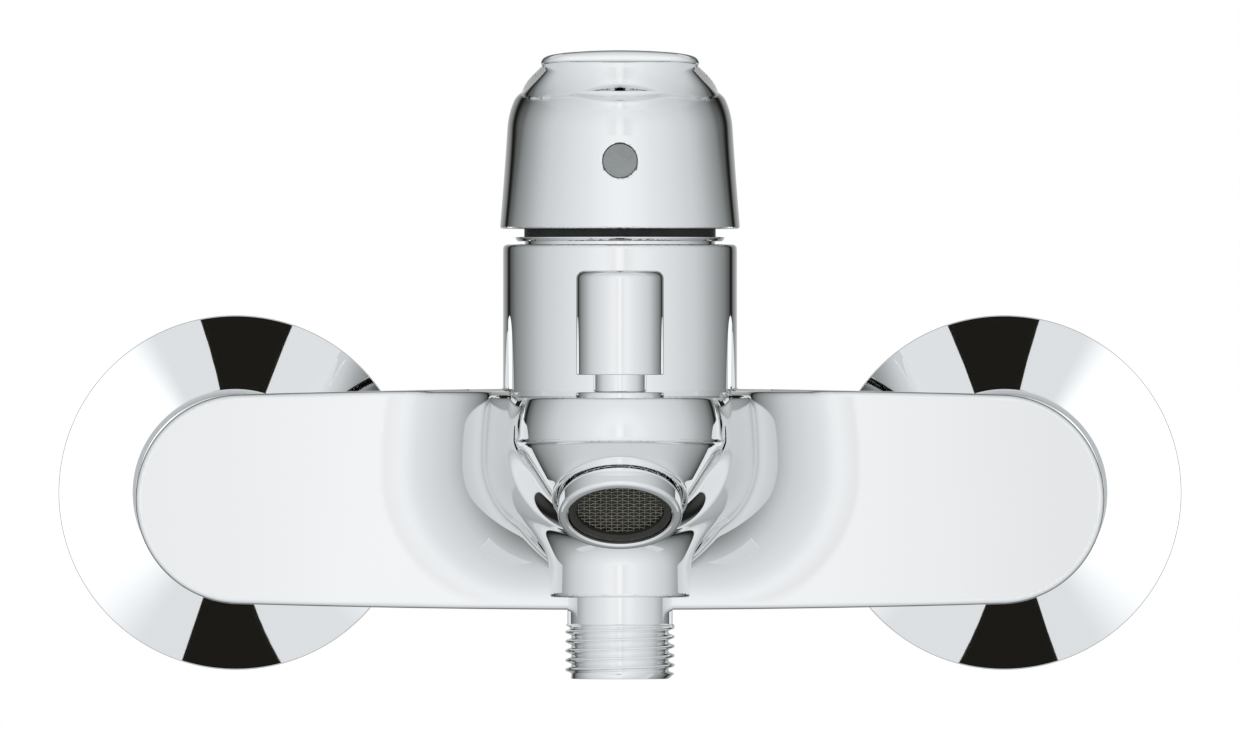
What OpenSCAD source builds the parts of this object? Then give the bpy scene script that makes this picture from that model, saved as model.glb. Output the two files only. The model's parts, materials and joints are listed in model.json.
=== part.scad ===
/* [Wall fixing] */
// Distance between the two water inlets
inlet_pitch = 150; // [140:1:160]
// How far the eccentric unions lift the body above the wall outlets
union_offset = 6; // [2:0.5:8]
// Radius of the G1/2 thread that screws into the wall
wall_thread_r = 10.4775; // [10:0.1:11]
// Length of the G1/2 thread behind the wall plane
wall_thread_l = 16; // [12:1:20]
// Radius of the G3/4 thread on the room side of a union
union_thread_r = 13.22; // [13:0.02:13.4]
// Radius of the water bore in the unions and nipples
supply_bore_r = 7.5; // [6:0.1:8]
// Radius of a wall rosette
rosette_r = 34.6; // [32:0.2:36]
// Radius of the rosette's hub
rosette_hub_r = 19.3; // [18.4:0.1:20]
// Depth of the rosette's cone in front of its rim
rosette_cone = 6.1; // [4:0.1:7]
// Sheet thickness of the rosette
rosette_wall = 1.2; // [0.8:0.1:1.6]
// Width of the union nut across its flats
nut_flats = 30; // [29:0.5:32]
/* [Body] */
// Distance from the wall to the back of the crossbar
bar_back = 37; // [35:0.5:40]
// Depth of the crossbar from back to front
bar_depth = 47; // [46:0.5:50]
// Half length of the crossbar
bar_half = 93; // [92:0.5:96]
// Radius of the crossbar's round ends
bar_end_r = 19.9; // [19:0.1:20.5]
// Height of the crossbar's top above the inlet axis, in the middle
bar_top = 20.1; // [19.5:0.1:21]
// Depth of the crossbar's underside below the inlet axis, in the middle
bar_bottom = 21.95; // [21:0.1:23]
// Radius of the round boss behind each end of the crossbar
inlet_boss_r = 18.4; // [17:0.1:19]
// Outer radius of the cartridge tower
tower_r = 22.6; // [22:0.1:22.9]
// Height of the tower's rim above the inlet axis
tower_top = 48.2; // [46:0.2:52]
/* [Spout] */
// Radius of the spout's round belly
spout_r = 19.2; // [18.6:0.1:20]
// Height of the belly's axis above the inlet axis
spout_axis = 14.3; // [13:0.1:15]
// Height of the spout's flat top above the inlet axis
spout_top = 18.65; // [17.5:0.1:19]
// Distance from the wall to the nose of the spout
spout_reach = 158; // [150:1:175]
// Radius of the spout where it leaves the hollow fillet in front of the crossbar
root_r = 25.8; // [24:0.1:26.5]
// Radius of the hollow fillet between crossbar and spout
flare_r = 16.3; // [14:0.1:17]
// Angle of the aerator below the horizontal
aerator_tilt = 57; // [50:1:62]
// Radius of the aerator's chrome ring
aerator_r = 11.85; // [11.5:0.05:12]
// Length of the aerator's ring that shows below the mouth
aerator_drop = 3.95; // [2:0.1:5]
/* [Diverter and shower outlet] */
// Distance from the wall to the diverter's axis
diverter_y = 100; // [98:0.5:103]
// Radius of the diverter's pull knob
knob_r = 8.45; // [8:0.05:9.5]
// Height of the knob's lower edge above the inlet axis
knob_foot = 23; // [22:0.5:26]
// Height of the knob
knob_h = 20.2; // [18:0.5:22]
// Travel of the knob when it is pulled
diverter_travel = 7; // [5:0.5:7]
// Radius of the fixed neck that the knob slides on
neck_r = 5.1; // [4.6:0.1:5.4]
// Radius of the shower outlet's boss
outlet_boss_r = 13.75; // [13:0.05:14.5]
// Depth of the boss's lower face below the inlet axis
outlet_boss_bottom = 19.65; // [19:0.1:22]
// Length of the plain neck below the boss
outlet_neck_l = 5.05; // [4:0.1:8]
// Length of the G1/2 thread for the shower hose
outlet_thread_l = 10.6; // [9:0.1:14]
// Radius of the G1/2 thread for the shower hose
outlet_thread_r = 10.4775; // [10:0.1:11]
/* [Cartridge] */
// Radius of the ceramic cartridge's housing
cartridge_r = 17.5; // [17.2:0.05:17.6]
// Height of the lever's pivot above the inlet axis
pivot_z = 26; // [25:0.5:27]
// Greatest lift of the lever
lift_angle = 25; // [15:1:25]
// Distance from the pivot to the ball at the spindle's foot
ball_arm = 12; // [11.5:0.1:12.2]
/* [Handle] */
// Radius of the handle's skirt at its lower rim
cap_r = 23.2; // [22.8:0.1:24.5]
// Height of the skirt's lower rim above the inlet axis
cap_foot = 51.2; // [50.8:0.1:54]
// Distance from the wall to the tip of the lever
lever_reach = 131; // [120:1:145]
// Half width of the lever at its tip
lever_tip_half = 14.7; // [11:0.1:16]
// Half width of the lever where it leaves the cap
lever_root_half = 19.8; // [17:0.1:20.5]
// Height of the lever's crown at the tip
lever_tip_z = 85.1; // [83:0.1:90]
// Slope of the lever's crown
lever_slope = 4.5; // [3:0.1:6]
// Radius of the plug that hides the grub screw
plug_r = 3.25; // [3:0.05:4]
/* [Hidden] */
$fn = 96;
// Running clearance between turned pieces
fit = 0.05;
// Clearance between the flanks of two threads
thread_room = 0.08;
// Room between moving pieces
room = 0.3;
// Overlap that joins the parts of one casting
weld = 1;
axis_y = -(bar_back + bar_depth / 2);
bar_face = -(bar_back + bar_depth);
inlet_x = inlet_pitch / 2;
bar_end_z = (bar_top - bar_bottom) / 2;
chrome = [0.86, 0.87, 0.88];
brass = [0.78, 0.64, 0.32];
steel = [0.62, 0.63, 0.65];
rubber = [0.12, 0.12, 0.12];
plastic = [0.88, 0.88, 0.84];
grey_plastic = [0.36, 0.37, 0.38];
ceramic = [0.95, 0.94, 0.9];
// Moves what is drawn round the inlet axis up to the body's place on the wall
module at_body() { translate([0, 0, union_offset]) children(); }
// A turned piece whose profile runs from the wall towards the room
module turned_from_wall(x, z) {
    translate([x, 0, z]) rotate([90, 0, 0]) rotate_extrude() children();
}
// A round rod or bore that runs from one distance off the wall to another
module along_y(r, near, far) {
    translate([0, -near, 0]) rotate([90, 0, 0]) cylinder(r = r, h = far - near);
}
module tube(r, bore, low, high) {
    translate([0, 0, low]) difference() {
        cylinder(r = r, h = high - low);
        translate([0, 0, -weld]) cylinder(r = bore, h = high - low + 2 * weld);
    }
}
// Crossbar: a long oblong, slightly higher in the middle than at its round ends
bar_cx = bar_half - bar_end_r;
bar_mid_h = (bar_top + bar_bottom) / 2;
bar_lean = atan2(bar_mid_h, bar_cx) - asin(bar_end_r / norm([bar_cx, bar_mid_h]));
module bar_outline() {
    tx = bar_cx + bar_end_r * sin(bar_lean);
    tz = bar_end_r * cos(bar_lean);
    translate([0, bar_end_z]) {
        for (side = [-1, 1]) translate([side * bar_cx, 0]) circle(r = bar_end_r);
        polygon([[0, bar_mid_h], [tx, tz], [tx, -tz], [0, -bar_mid_h], [-tx, -tz], [-tx, tz]]);
    }
}
// Spout: a round belly with a flat top, a ball nose and a chin that runs back to the mouth
nose_y = -(spout_reach - spout_r);
chin_z = 10.3;
chin_step = 0.5;
mouth_r = 12.45;
mouth_rim_r = 12.95;
thread_bore_r = 11.95;
mouth_depth = 12;
mouth_y = nose_y - 5;
mouth_z = -0.8;
flare_sink = 0.5;
module along_mouth() {
    translate([0, mouth_y, mouth_z]) rotate([-(90 - aerator_tilt), 0, 0]) children();
}
// The level land from the spout's top back to the tower, sunk a little into the crossbar
land_half = 20.5;
module land_cut() {
    translate([-land_half, -2 * spout_reach, spout_top]) cube([2 * land_half, 2 * spout_reach + axis_y, bar_half]);
}
// Spout: tapers from a broad root, which a hollow fillet joins to the crossbar's face
module spout_root() {
    trim_low = bar_bottom - 0.75;
    trim_high = bar_top - 0.8;
    belly_end = -nose_y - 2.7;
    flare_out = root_r + flare_r;
    flare_y = bar_face + flare_sink - flare_r;
    intersection() {
        translate([0, 0, spout_axis]) rotate([90, 0, 0]) rotate_extrude() difference() {
            polygon([[0, bar_back + weld], [spout_r, bar_back + weld], [spout_r, -bar_face - weld - flare_sink],
                [flare_out - weld, -bar_face - weld - flare_sink], [flare_out - weld, 0.5 - flare_y],
                [root_r - 0.05, 0.5 - flare_y], [spout_r, belly_end], [0, belly_end]]);
            translate([flare_out, -flare_y]) circle(r = flare_r);
        }
        translate([-bar_half, -2 * spout_reach, -trim_low])
            cube([2 * bar_half, 2 * spout_reach, trim_low + trim_high]);
    }
}
module spout_solid() {
    spout_root();
    intersection() {
        translate([0, nose_y, spout_axis]) sphere(r = spout_r);
        translate([-spout_r, nose_y - spout_r, chin_z]) cube([2 * spout_r, 2 * spout_r, 2 * spout_r]);
    }
    chin_r = sqrt(pow(spout_r, 2) - pow(spout_axis - chin_z, 2)) - chin_step;
    hull($fn = 48) {
        translate([0, nose_y, chin_z]) cylinder(r = chin_r, h = 0.2);
        along_mouth() cylinder(r = mouth_rim_r, h = 0.2);
    }
}
module outlet_boss_solid() {
    flare = 6;
    translate([0, -diverter_y, 0]) rotate_extrude() difference() {
        translate([0, -outlet_boss_bottom]) square([outlet_boss_r + 2, outlet_boss_bottom + 4]);
        translate([outlet_boss_r + flare, -outlet_boss_bottom + 4]) circle(r = flare);
        translate([outlet_boss_r, -outlet_boss_bottom - weld]) square([flare, 4 + weld]);
    }
}
// Waterways: two supplies under the cartridge, and the mixed water's way to the diverter
chamber_r = cartridge_r + 0.1;
nut_thread_r = 18.75;
nut_seat = 33;
supply_way_z = -9.5;
supply_way_r = 6;
port_x = 8;
port_y = 3.5;
port_r = 3.4;
mix_y = -8.5;
mixed_way_z = -5.7;
spout_way_z = 8.8;
diverter_bore_r = 8.05;
gland_foot = 12;
neck_seat = 3;
neck_seat_r = 5.5;
outlet_seat = -10;
socket_r = 9.55;
module supply_ways() {
    for (side = [-1, 1]) translate([side * inlet_x, 0, 0]) {
        along_y(nipple_r + fit, bar_back - 4, bar_back + nipple_sink + 0.1);
        along_y(supply_bore_r, bar_back, -axis_y);
    }
    for (side = [-1, 1]) translate([side * (port_x - 2), axis_y, supply_way_z]) rotate([0, side * 90, 0])
        cylinder(r = supply_way_r, h = inlet_x - port_x);
}
module port_ways() {
    for (side = [-1, 1]) translate([side * port_x, axis_y + port_y, supply_way_z])
        cylinder(r = port_r, h = weld - supply_way_z);
    translate([0, axis_y + mix_y, mixed_way_z]) cylinder(r = port_r, h = weld - mixed_way_z);
}
module mixed_way() {
    translate([0, 0, mixed_way_z]) along_y(3.6, -axis_y - mix_y - 1, diverter_y - 2);
}
module cartridge_chamber() {
    translate([0, axis_y, 0]) {
        cylinder(r = chamber_r, h = tower_top + weld);
        translate([0, 0, nut_seat - weld]) cylinder(r = nut_thread_r, h = tower_top);
    }
}
module diverter_chamber() {
    translate([0, -diverter_y, 0]) {
        translate([0, 0, 5]) cylinder(r = diverter_bore_r, h = spout_top);
        translate([0, 0, outlet_seat - weld])
            cylinder(r = diverter_bore_r, h = neck_seat - outlet_seat + weld);
        cylinder(r = neck_seat_r, h = 6);
        translate([0, 0, -outlet_boss_bottom - weld])
            cylinder(r = socket_r, h = outlet_boss_bottom + outlet_seat + weld);
    }
}
module spout_way() {
    translate([0, 0, spout_way_z]) along_y(3.1, diverter_y + 2, -mouth_y - 4);
}
module mouth_bore() {
    along_mouth() {
        translate([0, 0, -weld]) cylinder(r = mouth_r, h = weld + 1.2);
        cylinder(r = thread_bore_r, h = mouth_depth);
    }
}
module body_blank() {
    difference() {
        union() {
            translate([0, -bar_back, 0]) rotate([90, 0, 0]) linear_extrude(bar_depth) bar_outline();
            spout_solid();
        }
        land_cut();
    }
    for (side = [-1, 1]) translate([side * inlet_x, 0, 0])
        along_y(inlet_boss_r, bar_back - 3, bar_back + weld);
    translate([0, axis_y, -weld]) cylinder(r = tower_r, h = tower_top + weld);
    outlet_boss_solid();
}
// The cross drillings come first, and the chambers then open into them
module drilled_blank() {
    difference() {
        body_blank();
        supply_ways();
        mixed_way();
        spout_way();
    }
}
module body_casting() {
    color(chrome) at_body() difference() {
        difference() {
            drilled_blank();
            port_ways();
        }
        cartridge_chamber();
        diverter_chamber();
        mouth_bore();
    }
}
// Inlets: eccentric union, rosette, nut, washer, strainer and screwed nipple
union_end = 26;
union_eye_r = 11.5;
washer_l = 2.2;
washer_bore_r = 8.1;
nipple_flange_l = 2.8;
nipple_flange_r = 13;
nipple_r = 10;
nipple_sink = 6.9;
nut_near = 17;
nut_eye_r = 10.3;
nut_lip = 2;
nut_chamfer = 1.2;
nut_end = union_end + washer_l + nipple_flange_l + nut_lip;
module s_union(x) {
    color(brass) translate([x, 0, 0]) difference() {
        union() {
            along_y(wall_thread_r, -2 - wall_thread_l, 0);
            along_y(union_eye_r, -2, 12);
            translate([-union_eye_r, -12, 0]) cube([2 * union_eye_r, 12 + 2, union_offset]);
            translate([0, 0, union_offset]) {
                along_y(union_eye_r, -2, 12);
                along_y(union_thread_r, 12, union_end);
            }
        }
        along_y(supply_bore_r, -wall_thread_l - 4, 8);
        translate([0, 0, union_offset]) along_y(supply_bore_r, 1, union_end + weld);
    }
}
module s_union_left() { s_union(-inlet_x); }
module s_union_right() { s_union(inlet_x); }
module rosette(x) {
    rim = 1.2;
    hub_front = 16;
    hub_wall = 1.4;
    cone_end = rim + rosette_cone;
    bore_r = union_thread_r + thread_room;
    color(chrome) turned_from_wall(x, union_offset) difference() {
        polygon([[bore_r, hub_front - 3], [rosette_hub_r - hub_wall, hub_front - 3],
            [rosette_hub_r - hub_wall, cone_end - rosette_wall],
            [rosette_r - 2 * rosette_wall, 0], [rosette_r, 0], [rosette_r, rim],
            [rosette_hub_r + 0.8, cone_end], [rosette_hub_r, cone_end + 0.8],
            [rosette_hub_r, hub_front - 0.6], [rosette_hub_r - 0.6, hub_front],
            [bore_r, hub_front]]);
    }
}
module rosette_left() { rosette(-inlet_x); }
module rosette_right() { rosette(inlet_x); }
module union_nut(x) {
    corner_r = nut_flats / 2 / cos(30);
    color(brass) translate([x, 0, union_offset]) difference() {
        intersection() {
            translate([0, -nut_near, 0]) rotate([90, 30, 0])
                cylinder(r = corner_r, h = nut_end - nut_near, $fn = 6);
            turned_from_wall(0, 0) polygon([[0, nut_near], [corner_r - nut_chamfer, nut_near],
                [corner_r, nut_near + nut_chamfer], [corner_r, nut_end - nut_chamfer],
                [corner_r - nut_chamfer, nut_end], [0, nut_end]]);
        }
        along_y(union_thread_r + thread_room, nut_near - weld, nut_end - nut_lip);
        along_y(nut_eye_r, nut_near, nut_end + weld);
    }
}
module union_nut_left() { union_nut(-inlet_x); }
module union_nut_right() { union_nut(inlet_x); }
module union_washer(x) {
    color(rubber) turned_from_wall(x, union_offset)
        translate([washer_bore_r, union_end]) square([nipple_flange_r - washer_bore_r, washer_l]);
}
module union_washer_left() { union_washer(-inlet_x); }
module union_washer_right() { union_washer(inlet_x); }
// Strainer: a perforated steel disc inside the washer
module inlet_strainer(x) {
    color(steel) translate([x, -union_end - washer_l, union_offset]) rotate([-90, 0, 0]) difference() {
        cylinder(r = washer_bore_r - fit, h = 0.6);
        for (ring = [[3, 5], [5.6, 10]]) for (i = [0 : ring[1] - 1])
            rotate(360 / ring[1] * i) translate([ring[0], 0, -weld]) cylinder(r = 0.9, h = 3, $fn = 24);
    }
}
module inlet_strainer_left() { inlet_strainer(-inlet_x); }
module inlet_strainer_right() { inlet_strainer(inlet_x); }
module inlet_nipple(x) {
    near = union_end + washer_l;
    far = bar_back + nipple_sink;
    color(brass) turned_from_wall(x, union_offset) polygon([[supply_bore_r, near], [nipple_flange_r, near],
        [nipple_flange_r, near + nipple_flange_l], [nipple_r, near + nipple_flange_l], [nipple_r, far],
        [supply_bore_r, far]]);
}
module inlet_nipple_left() { inlet_nipple(-inlet_x); }
module inlet_nipple_right() { inlet_nipple(inlet_x); }
// Cartridge: ports and ceramic discs below, a turret and a tilting spindle above
base_foot = 0.4;
base_top = 5;
disc_t = 3;
carrier_t = 4;
carrier_foot = base_top + 2 * disc_t + 0.02;
tongue_h = 4;
tongue_w = 13;
tongue_l = 16.8;
disc_bore_r = 14.2;
fixed_disc_r = 14.1;
moving_r = 10.4;
turret_r = 13;
turret_top = nut_seat;
spindle_r = 3.8;
spindle_hub_w = 8;
spindle_top = 72;
spindle_square = 7.4;
pin_r = 1.5;
ball_r = 2.8;
rest_lean = lift_angle / 2;
slide_rest = ball_arm * sin(rest_lean);
module at_cartridge() { at_body() translate([0, axis_y, 0]) children(); }
module three_ports(r, low, high) {
    for (p = [[-port_x, port_y], [port_x, port_y], [0, mix_y]])
        translate([p[0], p[1], low]) cylinder(r = r, h = high - low);
}
module cartridge_base() {
    color(plastic) at_cartridge() difference() {
        translate([0, 0, base_foot]) cylinder(r = cartridge_r - 0.1, h = base_top - base_foot);
        three_ports(3, -weld, base_top + weld);
        three_ports(4.6, -weld, 1.7);
    }
}
module cartridge_port_seals() {
    color(rubber) at_cartridge() difference() {
        three_ports(4.55, 0, 1.7);
        three_ports(3.45, -weld, 3);
    }
}
module fixed_ceramic_disc() {
    color(ceramic) at_cartridge() difference() {
        translate([0, 0, base_top]) cylinder(r = fixed_disc_r, h = disc_t);
        three_ports(2.8, base_top - weld, base_top + disc_t + weld);
    }
}
module moving_ceramic_disc() {
    low = base_top + disc_t + 0.02;
    color(ceramic) at_cartridge() translate([0, slide_rest, 0]) difference() {
        translate([0, 0, low]) cylinder(r = moving_r, h = disc_t);
        translate([0, 0, low - weld]) cylinder(r = 5.5, h = weld + 1.4);
    }
}
module disc_carrier() {
    color(grey_plastic) at_cartridge() translate([0, slide_rest, 0]) difference() {
        union() {
            translate([0, 0, carrier_foot]) cylinder(r = moving_r, h = carrier_t);
            translate([-tongue_w / 2, -tongue_l / 2, carrier_foot + carrier_t - weld])
                cube([tongue_w, tongue_l, tongue_h + weld]);
        }
        translate([0, 0, carrier_foot - weld]) cylinder(r = ball_r + 0.5, h = 20);
    }
}
turret_foot = carrier_foot + carrier_t + room;
module cartridge_turret() {
    slot_l = 18;
    groove_h = tongue_h + 0.1;
    color(grey_plastic) at_cartridge() difference() {
        translate([0, 0, turret_foot]) cylinder(r = turret_r, h = turret_top - turret_foot - 0.1);
        translate([-spindle_hub_w / 2 - room, -slot_l / 2, turret_foot - weld])
            cube([spindle_hub_w + 2 * room, slot_l, 40]);
        translate([-tongue_w / 2 - 0.15, -2 * turret_r, turret_foot - weld])
            cube([tongue_w + 0.3, 4 * turret_r, groove_h + weld]);
        translate([-turret_r - weld, 0, pivot_z]) rotate([0, 90, 0])
            cylinder(r = pin_r + 0.02, h = 2 * turret_r + 2 * weld);
    }
}
module spindle_pin() {
    color(steel) at_cartridge() translate([-turret_r + 0.6, 0, pivot_z]) rotate([0, 90, 0])
        cylinder(r = pin_r, h = 2 * turret_r - 1.2);
}
module cartridge_housing() {
    neck_h = 5;
    color(plastic) at_cartridge() rotate_extrude() polygon([[disc_bore_r, base_top],
        [cartridge_r, base_top], [cartridge_r, nut_seat], [14.9, nut_seat],
        [14.9, nut_seat + neck_h], [12.4, nut_seat + neck_h], [12.4, nut_seat],
        [turret_r + fit, nut_seat], [turret_r + fit, carrier_foot + carrier_t],
        [disc_bore_r, carrier_foot + carrier_t]]);
}
// Spindle: a steel lever on a cross pin, with a ball foot that pushes the disc carrier
module spindle() {
    color(steel) at_cartridge() translate([0, 0, pivot_z]) difference() {
        union() {
            translate([-spindle_hub_w / 2, 0, 0]) rotate([0, 90, 0]) cylinder(r = 4, h = spindle_hub_w);
            cylinder(r = spindle_r, h = cap_foot + 7 - pivot_z);
            translate([-spindle_square / 2, -spindle_square / 2, cap_foot + 7 - pivot_z])
                cube([spindle_square, spindle_square, spindle_top - cap_foot - 7]);
            rotate([180 + rest_lean, 0, 0]) {
                cylinder(r = 1.9, h = ball_arm);
                translate([0, 0, ball_arm]) sphere(r = ball_r);
            }
        }
        translate([-spindle_hub_w, 0, 0]) rotate([0, 90, 0]) cylinder(r = pin_r + fit, h = 2 * spindle_hub_w);
    }
}
ring_bore_r = 16.9;
ring_r = 20.2;
ring_groove_r = 18.4;
neck_band_r = 18.5;
neck_band_l = 2.3;
ring_gap = 0.6;
ring_top = tower_top + ring_gap + 0.9;
cartridge_nut_top = tower_top - 0.7;
module cartridge_nut() {
    color(brass) at_cartridge() difference() {
        tube(nut_thread_r - fit, 15.1, nut_seat, cartridge_nut_top);
        for (i = [0 : 5]) rotate(60 * i) translate([14, -2, cartridge_nut_top - 2.5]) cube([2.8, 4, 5]);
    }
}
// Neck ring: the chrome collar that shows between the tower and the handle
module neck_ring() {
    low = tower_top + ring_gap;
    color(chrome) at_cartridge() rotate_extrude() polygon([[ring_bore_r, cartridge_nut_top],
        [ring_groove_r, cartridge_nut_top], [ring_groove_r, low], [ring_r - 0.4, low],
        [ring_r, low + 0.6], [ring_r, ring_top - 0.1], [ring_r - 0.3, ring_top], [ring_bore_r, ring_top]]);
}
// Black band above the collar, which fills the gap under the handle
module neck_band() {
    high = ring_top + neck_band_l;
    color(rubber) at_cartridge() rotate_extrude() polygon([[ring_bore_r, ring_top], [neck_band_r, ring_top],
        [neck_band_r, high - 0.4], [neck_band_r - 0.5, high], [ring_bore_r, high]]);
}
// Handle: a hollow turned cap that grows into a crowned, tapering lever
crown_r = 80;
tip_y = -lever_reach;
boss_foot = cap_foot + 8.8;
boss_r = 7.5;
screw_z = cap_foot + 13.05;
screw_r = 2.5;
lever_rise = 6.2;
module cap_solid() {
    translate([0, axis_y, 0]) rotate_extrude() polygon([[0, cap_foot], [cap_r, cap_foot],
        [cap_r - 0.65, cap_foot + 18.9], [cap_r - 1.2, cap_foot + 21.2], [cap_r - 2.2, cap_foot + 25.5],
        [cap_r - 3.6, cap_foot + 28.2], [cap_r - 5.4, cap_foot + 30], [0, cap_foot + 31]]);
}
module lever_outline() {
    corner = 5;
    root_y = axis_y - 16;
    lean = atan2(lever_root_half - lever_tip_half, root_y - tip_y);
    corner_y = tip_y + corner;
    corner_x = lever_tip_half + corner * tan(lean) - corner / cos(lean);
    for (side = [-1, 1]) translate([side * corner_x, corner_y]) circle(r = corner);
    polygon([[-corner_x, tip_y], [corner_x, tip_y],
        [corner_x + corner * cos(lean), corner_y - corner * sin(lean)], [lever_root_half, root_y],
        [lever_root_half, axis_y], [-lever_root_half, axis_y], [-lever_root_half, root_y],
        [-corner_x - corner * cos(lean), corner_y - corner * sin(lean)]]);
}
// Side view of the lever: its flat underside runs into the cap through a hollow fillet
module lever_side() {
    fillet = 6;
    wall_y = axis_y - cap_r + 0.9;
    under_tip = lever_tip_z - 2.4;
    under_root = under_tip - (lever_reach + wall_y) * tan(lever_rise);
    centre_z = under_root - fillet + fillet * tan(lever_rise);
    difference() {
        polygon([[tip_y, under_tip], [wall_y - fillet, under_root + fillet * tan(lever_rise)],
            [wall_y - fillet, centre_z], [wall_y, centre_z], [axis_y, centre_z],
            [axis_y, lever_tip_z + 4], [tip_y, lever_tip_z + 4]]);
        translate([wall_y - fillet, centre_z]) circle(r = fillet - 0.02);
    }
}
module handle_solid() {
    intersection() {
        union() {
            cap_solid();
            intersection() {
                translate([0, 0, cap_foot]) linear_extrude(50) lever_outline();
                rotate([90, 0, 90]) translate([0, 0, -30]) linear_extrude(60) lever_side();
            }
        }
        translate([0, tip_y, lever_tip_z]) rotate([-lever_slope, 0, 0]) translate([0, -30, -crown_r])
            rotate([-90, 0, 0]) cylinder(r = crown_r, h = 200, $fn = 240);
    }
}
module handle() {
    wall = 2;
    color(chrome) at_body() difference() {
        handle_solid();
        difference() {
            translate([0, axis_y, 0]) rotate_extrude() polygon([[0, cap_foot - weld],
                [cap_r - wall, cap_foot - weld], [cap_r - wall, cap_foot], [cap_r - wall - 0.9, cap_foot + 17],
                [cap_r - wall - 6, cap_foot + 22], [0, cap_foot + 22.5]]);
            translate([0, axis_y, boss_foot]) cylinder(r = boss_r, h = 30);
        }
        translate([-spindle_square / 2 - fit, axis_y - spindle_square / 2 - fit, boss_foot - weld])
            cube([spindle_square + 2 * fit, spindle_square + 2 * fit, spindle_top - boss_foot + weld + 0.2]);
        translate([0, 0, screw_z]) along_y(screw_r + fit, -axis_y, -axis_y + cap_r + weld);
        translate([0, 0, screw_z]) along_y(plug_r + fit, -axis_y + boss_r + 4, -axis_y + cap_r + weld);
    }
}
module handle_grub_screw() {
    near = -axis_y + spindle_square / 2;
    color(steel) at_body() translate([0, 0, screw_z]) difference() {
        along_y(screw_r, near, near + 5);
        translate([0, -near - 3, 0]) rotate([90, 0, 0]) cylinder(r = 1.45, h = 3, $fn = 6);
    }
}
module index_plug() {
    plug_l = 2.6;
    color([0.56, 0.57, 0.56]) at_body() intersection() {
        cap_solid();
        translate([0, 0, screw_z]) along_y(plug_r, -axis_y + cap_r - plug_l, -axis_y + cap_r + weld);
    }
}
// Diverter: a knob on a fixed neck lifts the valve head off the shower seat
rod_r = 2.5;
gland_neck_top = 36;
knob_bore_top = 37;
rod_top = 41;
head_r = 6.8;
head_foot = outlet_seat + 0.9;
head_top = neck_seat - diverter_travel - 0.85;
spring_mid_r = 3.6;
spring_wire_r = 0.4;
o_ring_z = [13.2, 16];
module at_diverter() { at_body() translate([0, -diverter_y, 0]) children(); }
module diverter_gland() {
    groove_r = rod_r + 1.4;
    color(chrome) at_diverter() rotate_extrude() difference() {
        union() {
            translate([rod_r + fit, gland_foot]) square([8 - rod_r - fit, spout_top - gland_foot]);
            translate([rod_r + fit, spout_top]) square([8.5 - rod_r - fit, 1.05]);
            translate([rod_r + fit, spout_top]) square([neck_r - rod_r - fit, gland_neck_top - spout_top]);
        }
        for (z = o_ring_z) translate([0, z]) square([groove_r, 1.6]);
    }
}
module diverter_o_rings() {
    color(rubber) at_diverter() for (z = o_ring_z) tube(rod_r + 1.35, rod_r + fit, z + 0.1, z + 1.5);
}
module diverter_knob() {
    top = knob_foot + knob_h;
    edge = 1.5;
    color(chrome) at_diverter() difference() {
        rotate_extrude() {
            square_foot = [knob_r, knob_foot];
            polygon([[0, knob_foot], square_foot, [knob_r, top - edge - 0.4], [0, top - edge - 0.4]]);
            polygon([[0, knob_foot + weld], [knob_r - edge, knob_foot + weld],
                [knob_r - edge, top - 0.4], [0, top]]);
            translate([knob_r - edge, top - edge - 0.4]) circle(r = edge);
        }
        translate([0, 0, knob_foot - weld]) cylinder(r = neck_r + fit, h = knob_bore_top - knob_foot + weld);
        translate([0, 0, knob_foot]) cylinder(r = rod_r + 0.02, h = rod_top - knob_foot);
    }
}
module diverter_rod() {
    color(steel) at_diverter() translate([0, 0, head_foot]) cylinder(r = rod_r, h = rod_top - head_foot);
}
module diverter_valve_head() {
    color(brass) at_diverter() tube(head_r, rod_r + 0.02, head_foot, head_top);
}
module diverter_seals() {
    color(rubber) at_diverter() {
        tube(head_r, rod_r + 0.3, outlet_seat + 0.05, head_foot);
        tube(head_r, spring_mid_r + 0.8, head_top, head_top + 0.8);
    }
}
// Springs: a round wire wound round the Z axis
function wire_ring(mid_r, wire_r, turn, z, sides) = [for (k = [0 : sides - 1])
    let (a = 360 * k / sides, r = mid_r + wire_r * cos(a))
    [r * cos(turn), r * sin(turn), z + wire_r * sin(a)]];
module coil_spring(mid_r, wire_r, low, high, turns) {
    sides = 6;
    steps = 12 * turns;
    rise = (high - low - 2 * wire_r) / steps;
    points = [for (i = [0 : steps]) each wire_ring(mid_r, wire_r, 30 * i, low + wire_r + rise * i, sides)];
    walls = [for (i = [0 : steps - 1]) for (k = [0 : sides - 1])
        let (a = i * sides + k, b = i * sides + (k + 1) % sides) each
        [[a, b, b + sides], [a, b + sides, a + sides]]];
    start_cap = [for (k = [1 : sides - 2]) [0, k + 1, k]];
    last = steps * sides;
    end_cap = [for (k = [1 : sides - 2]) [last, last + k, last + k + 1]];
    polyhedron(points, concat(walls, start_cap, end_cap));
}
module diverter_spring() {
    color(steel) at_diverter()
        coil_spring(spring_mid_r, spring_wire_r, head_top + 0.05, gland_foot - 0.05, 7);
}
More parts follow.
